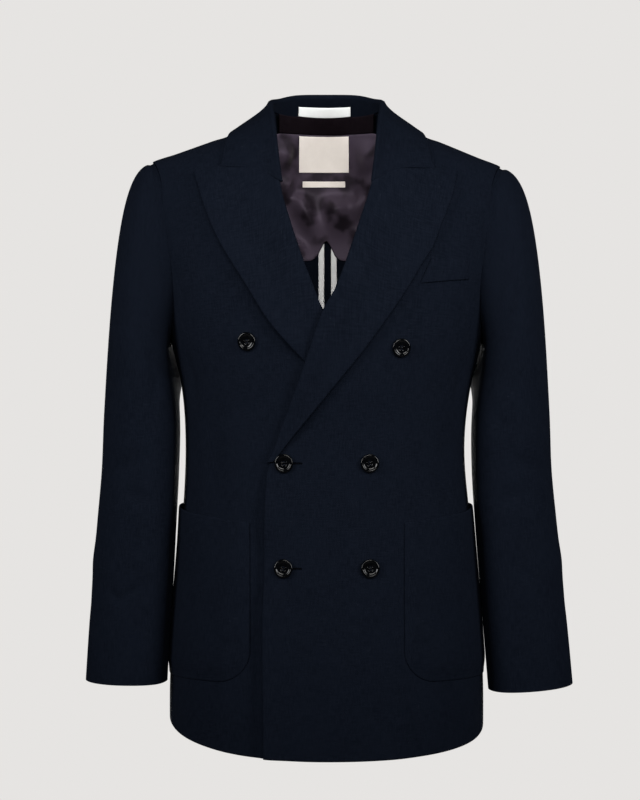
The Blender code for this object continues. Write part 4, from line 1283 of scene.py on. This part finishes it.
def patch_pocket(side):
    """A pocket with round lower corners, sunk into its seam and open at the mouth."""

    def lay(u, v):
        share = 0.5 - 0.5 * np.cos(u * math.pi)
        top = lerp(POCKET_TOP["front"], POCKET_TOP["side"], share)
        from_edge = np.minimum(share, 1 - share) * POCKET_WIDTH
        inside = np.maximum(POCKET_CORNER - from_edge, 0.0)
        corner = POCKET_CORNER - np.sqrt(POCKET_CORNER**2 - inside**2)
        z = lerp(POCKET_BOTTOM + corner, top, v)
        level = z - ARMPIT
        turn = lerp(turn_of(POCKET_FRONT, level), POCKET_SIDE_TURN, share)
        held_out = lift(side, body(turn, level)[..., 0], z)
        full = np.sqrt(np.clip(from_edge / POCKET_RISE, 0, 1)) * ease(*POCKET_FOOT, v)
        gape = POCKET_GAPE[side] * ease(*GAPE_STARTS, v) ** 2 * hump(*GAPE_AT, share)
        off_front = lerp(POCKET_SUNK, LAID, full) + full * (POCKET_FULLNESS + gape)
        low = CLOTH + off_front + held_out
        return *wall(sign(side) * turn, level, low, low + CLOTH), body_weave(turn, level)

    cloth(f"patch_pocket_{side}", spread(70, 1, 1), spread(64), lay, COAT)


def breast_welt():
    """The slanting strip at the breast pocket's mouth."""

    def lay(u, v):
        foot, mouth = (lerp(*np.array(ends), u[..., None]) for ends in (WELT_FOOT, WELT_MOUTH))
        x, z = np.moveaxis(lerp(foot, mouth, v[..., None]), -1, 0)
        turn, level = station(x, z)
        first_end, last_end = (ease(*end, u) for end in WELT_ENDS)
        free = np.minimum(first_end, last_end) * ease(*WELT_LOOSENS, v)
        above = CLOTH + lerp(POCKET_SUNK, LAID, free) + lift("left", x, z)
        return *wall(turn, level, above, above + WELT_CLOTH), body_weave(turn, level)

    cloth("breast_welt", spread(26), spread(18), lay, COAT)


# Inside the back neck


def inside_back(node, u, v, spot, inward, thickness, look, edges=(FREE,) * 4):
    """A piece inside the backs: spot(u, v) gives its places, inward(x, z) how far in it lies."""

    def lay(u, v):
        x, z = spot(u, v)
        turn, level = station(np.where(x == 0, OFF_CENTRE, x), z, "back")
        deep = inward(x, z)
        return *wall(turn, level, -deep, -deep - thickness), np.stack((x, z), axis=-1)

    cloth(node, u, v, lay, look, edges)


def lining_hem(x):
    """Lower edge of the half lining: a small split at the centre, higher at the sides."""
    split = LINING_SPLIT * bell(x, LINING_SPLIT_WIDTH)
    return LINING_HEM + split + LINING_SIDE_RISE * ease(*LINING_SIDES, np.abs(x))


def off_the_seam(part, x):
    """How much deeper a piece lies towards the corners of the neck."""
    return OFF_THE_SEAM[part] * ease(*NECK_CORNERS, np.abs(x))


def lining_wave(x, z):
    """The lining's depth inside the back, in soft folds that fade at the seam and the labels."""
    label_middle = (LABEL_EDGES[0] + LABEL_EDGES[1]) / 2
    beside = ease(*LABEL_CALM_SIDES, np.abs(x - label_middle))
    calm = ease(*SEAM_CALM, z) * np.maximum(beside, ease(*LABEL_CALM_FOOT, z))
    total = 0.0
    for at, height, wide, tall, deep, lean, below in zip(*LINING_FOLDS.values()):
        away = x - at - lean * (z - height)
        reach = np.where(z < height, tall * below, tall)
        total = total + deep * bell(away, wide) * bell(z - height, reach)
    return INSIDE + off_the_seam("lining", x) + np.maximum(total * calm, LINING_LEAST)


def rectangle(left, right, low, high):
    return lambda u, v: (lerp(left, right, u), lerp(low, high, v))


def neck_facing():
    """The strip inside the back neck between the collar and lining, dark as painted shade."""

    def inward(x, z):
        return INSIDE + off_the_seam("facing", x)

    spot = rectangle(*FACING_EDGES)
    inside_back(
        "neck_facing", spread(60), spread(10), spot, inward, SATIN, FACING_PAINTED_SHADE_CLOTH
    )


def back_lining():
    """The half lining, split at the centre of its lower edge."""

    def spot(u, v):
        x = lerp(-LINING_HALF_WIDTH, LINING_HALF_WIDTH, u)
        top = lerp(*LINING_TOP, ease(*LINING_TOP_TURNS, np.abs(x)))
        return x, lerp(lining_hem(x), top, v)

    u, v = spread(190, 1, 1), spread(90, 2, 2)
    inside_back("back_lining", u, v, spot, lining_wave, SATIN, LINING)


def neck_label(node, places, rows):
    """A bare ribbon sewn flat on the lining."""
    u, v, spot = spread(40), spread(rows), rectangle(*places)
    edges = (LABEL_EDGE,) * 4
    inside_back(node, u, v, spot, on_lining, LABEL_CLOTH, LABEL, edges)


def on_lining(x, z):
    return INSIDE + SATIN + LAID + 0.0 * x


def seam_binding(side):
    """The tape that binds one seam allowance of the centre back, below the lining."""

    def spot(u, v):
        x = lerp(*BINDING_EDGES[side], u)
        return x, lerp(BINDING_FOOT, lining_hem(x) - BINDING_TOP_GAP, v)

    def inward(x, z):
        return INSIDE + 0.0 * x

    u, v = spread(8), spread(120)
    inside_back(f"seam_binding_{side}", u, v, spot, inward, SATIN, BINDING)


def hanger_loop():
    """A tape sewn by its ends to the inner face of the collar stand at the centre back."""

    def lay(u, v):
        along = lerp(*HANGER_ENDS, u)
        column = lerp(*HANGER_COLUMNS, v)
        normal = collar_normal(column, along, 0.02, 0.004)
        free = HANGER_SAG * (1 - bell(u, HANGER_STITCHED)) * (1 - bell(u - 1, HANGER_STITCHED))
        base = collar_base(column, along) - along_it(normal, CLOTH + HANGER_GAP + free)
        return base, base - along_it(normal, SATIN), np.stack((u, v), axis=-1) * HANGER_SPAN

    cloth("hanger_loop", spread(50), spread(14), lay, TAPE, edges=(TAPE_EDGE,) * 4)


# Node trees written as expressions


class Signal:
    """The output of a node. Arithmetic on it adds Math nodes to its tree."""

    def __init__(self, tree, socket):
        self.tree = tree
        self.socket = socket

    def math(self, operation, *others):
        inputs = dict(enumerate((self, *others)))
        return self.tree.node("Math", {"operation": operation}, inputs)

    def __add__(self, other):
        return self.math("ADD", other)

    def __mul__(self, other):
        return self.math("MULTIPLY", other)

    __radd__ = __add__
    __rmul__ = __mul__

    def ease(self, low, high):
        """0 at low, 1 at high and an S curve between."""
        settings = {"interpolation_type": "SMOOTHSTEP"}
        inputs = {"Value": self, "From Min": low, "From Max": high}
        return self.tree.node("MapRange", settings, inputs)


class Look:
    """A material's nodes, with its cloth's own coordinates in metres."""

    def __init__(self, name):
        self.material = bpy.data.materials.new(name)
        self.material.use_nodes = True
        self.nodes = self.material.node_tree.nodes
        self.links = self.material.node_tree.links
        self.nodes.clear()

    def node(self, kind, settings=None, inputs=None, output=0):
        """A new node's output, once its settings are set and its sockets filled or linked."""
        made = self.nodes.new(f"ShaderNode{kind}")
        for setting, value in (settings or {}).items():
            setattr(made, setting, value)
        for socket, value in (inputs or {}).items():
            if isinstance(value, Signal):
                self.links.new(value.socket, made.inputs[socket])
            else:
                made.inputs[socket].default_value = value
        return Signal(self, made.outputs[output])

    def weave_places(self):
        """The cloth's own place, and it across and up in metres."""
        place = self.node("UVMap", {"uv_map": "weave"})
        return place, *(self.node("SeparateXYZ", {}, {0: place}, i) for i in range(2))

    def object_place(self):
        return self.node("TexCoord", {}, {}, "Object")

    def at(self, x, y, z=0.0):
        return self.node("CombineXYZ", {}, {0: x, 1: y, 2: z})

    def noise(self, place, detail, scale=1.0, roughness=0.5):
        inputs = {"Vector": place, "Scale": scale, "Detail": detail, "Roughness": roughness}
        return self.node("TexNoise", {}, inputs)

    def mix(self, share, first, second):
        """Two colours mixed."""
        inputs = {0: share, 6: first, 7: second}
        return self.node("Mix", {"data_type": "RGBA"}, inputs, 2)

    def finish(self, bump=None, depth=0.0, **sockets):
        """Ends the tree in a Principled shader with these sockets."""
        names = {name: name.replace("_", " ").title() for name in sockets}
        inputs = {names[name].replace("Ior", "IOR"): value for name, value in sockets.items()}
        if bump is not None:
            height = {"Height": bump, "Distance": depth, "Strength": 1.0}
            inputs["Normal"] = self.node("Bump", {}, height)
        shader = self.node("BsdfPrincipled", {}, inputs)
        surface = self.nodes.new("ShaderNodeOutputMaterial").inputs["Surface"]
        self.links.new(shader.socket, surface)
        return self.material


def coat_cloth(name, base, dark, lit, slub_colour):
    """Wool in a plain weave, with sparse thick places in the yarn both ways and a soft nap."""
    look = Look(name)
    place, across, up = look.weave_places()
    thread = 2 * math.pi / THREAD_PITCH
    warp = (across * thread).math("SINE")
    weft = (up * thread).math("SINE")
    weave = warp * weft

    def streaks(threads_across, threads_up, layer, detail):
        """Noise drawn out along one way of the cloth; each layer is a pattern of its own."""
        place = look.at(across * threads_across, up * threads_up, layer)
        return look.noise(place, detail=detail)

    uneven_warp = streaks(YARNS, YARN_RUN, 0.0, 1.5)
    uneven_weft = streaks(YARN_RUN, YARNS, 4.0, 1.5)
    slub_up = streaks(YARNS, SLUB_RUN, 9.0, 1.0).ease(*SLUB_EASE)
    slub_across = streaks(SLUB_RUN, YARNS, 17.0, 1.0).ease(*SLUB_EASE)
    slub = slub_up.math("MAXIMUM", slub_across)
    cloudy = look.noise(place, scale=26.0, detail=3.0, roughness=0.6)
    shade = look.mix(cloudy.ease(0.30, 0.70), dark, base)
    yarn = look.mix((uneven_warp * 0.5 + uneven_weft * 0.5).ease(0.35, 0.65), shade, lit)
    colour = look.mix(slub * SLUB_SHARE, yarn, slub_colour)
    height = weave * 0.5 + (uneven_warp + uneven_weft) * 0.5 + slub * 1.2
    return look.finish(
        height,
        WEAVE_DEPTH,
        base_color=colour,
        roughness=0.86,
        specular_ior_level=0.012,
        sheen_weight=0.002,
        sheen_roughness=0.5,
        sheen_tint=WOOL_NAP,
    )


def lining_satin(name):
    """Satin with fine threads along its length, a soft shine and patches of painted shade."""
    look = Look(name)
    place, across, up = look.weave_places()
    threads = look.noise(look.at(across * SATIN_YARNS, up * YARN_RUN), detail=1.0)
    # Noise clouds that mix in the dark colour as painted shade of the folds
    cloudy = look.noise(place, scale=30.0, detail=2.5, roughness=0.5)
    return look.finish(
        threads,
        SATIN_DEPTH,
        base_color=look.mix(cloudy.ease(0.38, 0.53), SATIN_PAINTED_SHADE, SATIN_LILAC),
        roughness=0.56 + threads * 0.08,
        specular_ior_level=0.26,
        specular_tint=SATIN_SHINE,
        sheen_weight=0.02,
        sheen_roughness=0.3,
    )


def woven_tape(name, base, shaded, pitch, roughness):
    """Plain woven ribbon with fine ribs across it."""
    look = Look(name)
    place, across, up = look.weave_places()
    ribs = (up * (2 * math.pi / pitch)).math("SINE") * 0.5 + 0.5
    fine, coarse = TAPE_YARNS
    threads = look.noise(look.at(across * fine, up * coarse), detail=1.0)
    cloudy = look.noise(place, scale=60.0, detail=2.0, roughness=0.6)
    shade = (ribs * 0.35 + cloudy * 0.65).ease(0.25, 0.75)
    return look.finish(
        ribs * 0.6 + threads * 0.4,
        TAPE_DEPTH,
        base_color=look.mix(shade, shaded, base),
        roughness=roughness,
        sheen_weight=0.1,
        sheen_roughness=0.4,
    )


def button_resin(name):
    """Polished dark resin with faint clouds in it and fine wear."""
    look = Look(name)
    place = look.object_place()
    cloudy = look.noise(place, scale=260.0, detail=3.0, roughness=0.6)
    fine = look.noise(place, scale=1800.0, detail=2.0, roughness=0.5)
    return look.finish(
        fine,
        HORN_DEPTH,
        base_color=look.mix(cloudy.ease(0.45, 0.7), HORN_DARK, HORN_CLOUD),
        roughness=0.07 + fine * 0.05,
        specular_ior_level=0.13,
    )


def sewing_thread(name, base, shaded, shine):
    """Twisted thread, lit and shaded along its length."""
    look = Look(name)
    twist = look.noise(look.object_place(), scale=2600.0, detail=1.0, roughness=0.5)
    colour = look.mix(twist.ease(0.35, 0.65), shaded, base)
    return look.finish(
        twist, SILK_DEPTH, base_color=colour, roughness=0.7, specular_ior_level=shine
    )


def studio_floor(name):
    look = Look(name)
    soft = look.noise(look.object_place(), scale=0.8, detail=2.0, roughness=0.5)
    colour = look.mix(soft, PALE_FLOOR, PALE_FLOOR_CLOUD)
    return look.finish(base_color=colour, roughness=0.9, specular_ior_level=0.1)


# Buttons and buttonholes


def seated(x, z, side, height):
    """The matrix that lays something on the outer face of a front, its own +Z facing out."""
    x, z = np.float64(x), np.float64(z)
    turn, level = station(x, z)
    spot = on_body(turn, level, CLOTH + height + lift(side, x, z))
    facing_out = Vector(outward(turn, level)).to_track_quat("Z", "Y").to_matrix().to_4x4()
    return Matrix.Translation(Vector(spot)) @ facing_out


def button_mesh():
    """A button with four holes: a raised round rim, a dished middle and wells for the thread."""
    outline = np.array(BUTTON_OUTLINE)
    reach = run_length(outline, 0)
    steps = np.linspace(0.0, reach[-1], BUTTON_RINGS)
    radius = np.interp(steps, reach, outline[:, 0]) * BUTTON_RADIUS
    high = np.interp(steps, reach, outline[:, 1]) * BUTTON_HEIGHT
    kernel = np.array((1, 2, 3, 2, 1)) / 9
    for _ in range(2):
        radius[2:-2] = np.convolve(radius, kernel, "valid")
        high[2:-2] = np.convolve(high, kernel, "valid")
    angles = np.linspace(0, 2 * math.pi, BUTTON_SIDES, endpoint=False)
    x = radius[1:-1, None] * np.cos(angles)
    y = radius[1:-1, None] * np.sin(angles)
    z = high[1:-1, None] + 0.0 * x
    for hole_x, hole_y in BUTTON_HOLES:
        from_hole = np.hypot(x - hole_x, y - hole_y)
        well = 1 - ease(*HOLE_WALL, from_hole)
        z = np.where(np.arange(len(z))[:, None] < BUTTON_RINGS // 2, z - HOLE_DEPTH * well, z)
    rings = np.stack((x, y, z), axis=-1).reshape(-1, 3)
    verts = [(0, 0, high[0]), *rings.tolist(), (0, 0, high[-1])]
    place = np.arange(len(rings)).reshape(-1, BUTTON_SIDES) + 1
    after = np.roll(place, -1, axis=1)
    quads = np.stack((place[:-1], place[1:], after[1:], after[:-1]), axis=-1).reshape(-1, 4)
    faces = quads.tolist()
    faces += [(0, int(a), int(b)) for a, b in zip(place[0], after[0])]
    faces += [(len(verts) - 1, int(b), int(a)) for a, b in zip(place[-1], after[-1])]
    return smooth_mesh("button", verts, faces)


def smooth_mesh(name, verts, faces):
    mesh = bpy.data.meshes.new(name)
    mesh.from_pydata(verts, [], faces)
    mesh.shade_smooth()
    return mesh


def tube(path, radius, sides):
    """The points and faces of a round thread along a path."""
    path = np.array(path, float)
    ahead = unit(np.gradient(path, axis=0))
    helper = np.array((0.0, 0.0, 1.0)) + 0.01 * ahead
    first = unit(np.cross(ahead, helper))
    second = np.cross(ahead, first)
    angles = np.linspace(0, 2 * math.pi, sides, endpoint=False)
    ring = path[:, None] + radius * (
        first[:, None] * np.cos(angles)[:, None] + second[:, None] * np.sin(angles)[:, None]
    )
    place = np.arange(len(path) * sides).reshape(-1, sides)
    after = np.roll(place, -1, axis=1)
    quads = np.stack((place[:-1], after[:-1], after[1:], place[1:]), axis=-1).reshape(-1, 4)
    caps = [place[0][::-1].tolist(), place[-1].tolist()]
    return ring.reshape(-1, 3), quads.tolist() + caps


def joined(name, parts):
    verts, faces = [], []
    for points, quads in parts:
        start = len(verts)
        verts.extend(points.tolist())
        faces.extend([start + i for i in quad] for quad in quads)
    return smooth_mesh(name, verts, faces)


def button_thread():
    """Three strands between each pair of holes, dipping into them at both ends."""
    across, up = BUTTON_HOLES[0]
    share = np.linspace(-1, 1, 13)
    arch = BUTTON_HEIGHT * STRAND_SEAT + STRAND_ARCH * (1 - share**2) - HOLE_DEPTH * share**12
    parts = []
    for row in (-up, up):
        for strand in (-1, 0, 1):
            y = row + strand * STRAND_GAP + 0.0 * share
            path = np.stack((share * across, y, arch), axis=-1)
            parts.append(tube(path, STRAND_RADIUS, 6))
    return joined("button_thread", parts)


def buttons():
    sources = (("face", button_mesh(), RESIN), ("thread", button_thread(), NAVY_THREAD))
    for number, x, z, side, seat, turned in BUTTONS:
        where = seated(x, z, side, seat) @ Matrix.Rotation(math.radians(turned), 4, "Z")
        for part, source, look in sources:
            own = source.copy()
            own.transform(where)
            is_face = part == "face"
            stands_for = (f"button_{number}",) if is_face else ()
            piece(f"button_{number}_{part}", own, look, stands_for)


def slit_stitch(i, side):
    """One stitch over the slit's lip, from the slit outwards."""
    along = ((i + 0.5) / SLIT_STITCHES * 2 - 1) * SLIT_LENGTH / 2
    slack = along + STITCH_WOBBLE * math.sin(i * WOBBLE_STEP + side)
    places = zip((along, along, slack, slack), STITCH_PATH)
    return [(place, side * off, height) for place, (off, height) in places]


def bar_stitch(end, i):
    """One stitch of the fan round an end of the slit."""
    angle = (i - BAR_STITCHES // 2) * BAR_FAN
    across, up = end * math.cos(angle), math.sin(angle)
    start = end * SLIT_LENGTH / 2
    return [(start + across * off, up * off, height) for off, height in BAR_PATH]


def buttonhole(name, x, z):
    """A worked slit that runs from under a button towards the wearer's left."""
    paths = [slit_stitch(i, side) for i in range(SLIT_STITCHES) for side in (-1, 1)]
    paths += [bar_stitch(end, i) for end in (-1, 1) for i in range(BAR_STITCHES)]
    mesh = joined(name, [tube(path, STITCH_RADIUS, 5) for path in paths])
    mesh.transform(seated(x + SLIT_LENGTH / 2 + SLIT_PAST_BUTTON, z, "left", 0.0))
    piece(name, mesh, HOLE_THREAD)


# Camera, light and floor


def set_up(name, data, place):
    """An object that stands in the studio round the coat."""
    made = bpy.data.objects.new(name, data)
    made.location = place
    bpy.context.scene.collection.objects.link(made)
    return made


def camera():
    made = set_up("Camera", bpy.data.cameras.new("Camera"), CAMERA_PLACE)
    made.data.lens = CAMERA_LENS
    made.data.sensor_width = SENSOR_WIDTH
    made.rotation_euler = (math.radians(90), 0, 0)
    bpy.context.scene.camera = made


def backdrop():
    """A pale world behind the coat, which lights it only a little."""
    world = bpy.data.worlds.new("Studio")
    world.use_nodes = True
    nodes, links = world.node_tree.nodes, world.node_tree.links
    seen = nodes["Background"]
    seen.inputs["Color"].default_value = WORLD_SEEN
    soft = nodes.new("ShaderNodeBackground")
    soft.inputs["Color"].default_value = WORLD_LIGHT
    either = nodes.new("ShaderNodeMixShader")
    links.new(nodes.new("ShaderNodeLightPath").outputs["Is Camera Ray"], either.inputs[0])
    links.new(soft.outputs[0], either.inputs[1])
    links.new(seen.outputs[0], either.inputs[2])
    links.new(either.outputs[0], nodes["World Output"].inputs["Surface"])
    bpy.context.scene.world = world
    bpy.context.scene.view_settings.view_transform = "Standard"


def light(name, place, aim, size, beam, watts, colour):
    data = bpy.data.lights.new(name, "AREA")
    data.shape = "RECTANGLE"
    data.size, data.size_y = size
    data.energy = watts
    data.spread = math.radians(beam)
    data.color = colour
    towards = (Vector(aim) - Vector(place)).to_track_quat("-Z", "Y")
    set_up(name, data, place).rotation_euler = towards.to_euler()


def floor():
    mesh = bpy.data.meshes.new("floor")
    work = bmesh.new()
    bmesh.ops.create_circle(work, cap_ends=True, segments=FLOOR_SIDES, radius=FLOOR_RADIUS)
    work.to_mesh(mesh)
    work.free()
    mesh.materials.append(studio_floor("studio floor"))
    set_up("floor", mesh, (0, 0, FLOOR_HEIGHT))


BLAZER = bpy.data.collections.new("blazer")
bpy.context.scene.collection.children.link(BLAZER)
COAT = coat_cloth("navy wool", WOOL, WOOL_DARK, WOOL_YARN, WOOL_SLUB)
# The neck facing's cloth, coloured dark as painted shade of the collar's shadow
FACING_PAINTED_SHADE_CLOTH = coat_cloth("neck facing cloth in painted shade", FACING_PAINTED_SHADE, FACING_PAINTED_SHADE_DARK, FACING_PAINTED_SHADE_YARN, FACING_PAINTED_SHADE_YARN)
LINING = lining_satin("lining satin")
LABEL = woven_tape("label ribbon", RIBBON, RIBBON_SHADED, pitch=0.0006, roughness=0.75)
TAPE = woven_tape("hanger tape", TAPE_WHITE, TAPE_SHADED, pitch=0.0009, roughness=0.7)
BINDING = woven_tape("seam binding", BIAS_WHITE, BIAS_SHADED, pitch=0.0005, roughness=0.45)
RESIN = button_resin("button resin")
NAVY_THREAD = sewing_thread("navy thread", BUTTON_SILK, BUTTON_SILK_SHADED, shine=0.04)
HOLE_THREAD = sewing_thread("buttonhole thread", HOLE_SILK, HOLE_SILK_SHADED, shine=0.01)

for half in ("left", "right"):
    front(half)
    side_body(half)
    back(half)
    patch_pocket(half)
    seam_binding(half)
    sleeve(half, "top", 96, BACK_SLEEVE_SEAM - 360, FRONT_SLEEVE_SEAM)
    sleeve(half, "under", 48, FRONT_SLEEVE_SEAM, BACK_SLEEVE_SEAM)
lapel("left", LEFT_LAPEL, 120)
lapel("right", RIGHT_LAPEL, 96)
collar()
breast_welt()
neck_facing()
back_lining()
neck_label("label", LABEL_EDGES, 30)
neck_label("strip_label", STRIP_EDGES, 10)
hanger_loop()
buttons()
for name, x, z in BUTTONHOLES:
    buttonhole(name, x, z)
camera()
backdrop()
for row in LIGHTS:
    light(*row)
floor()
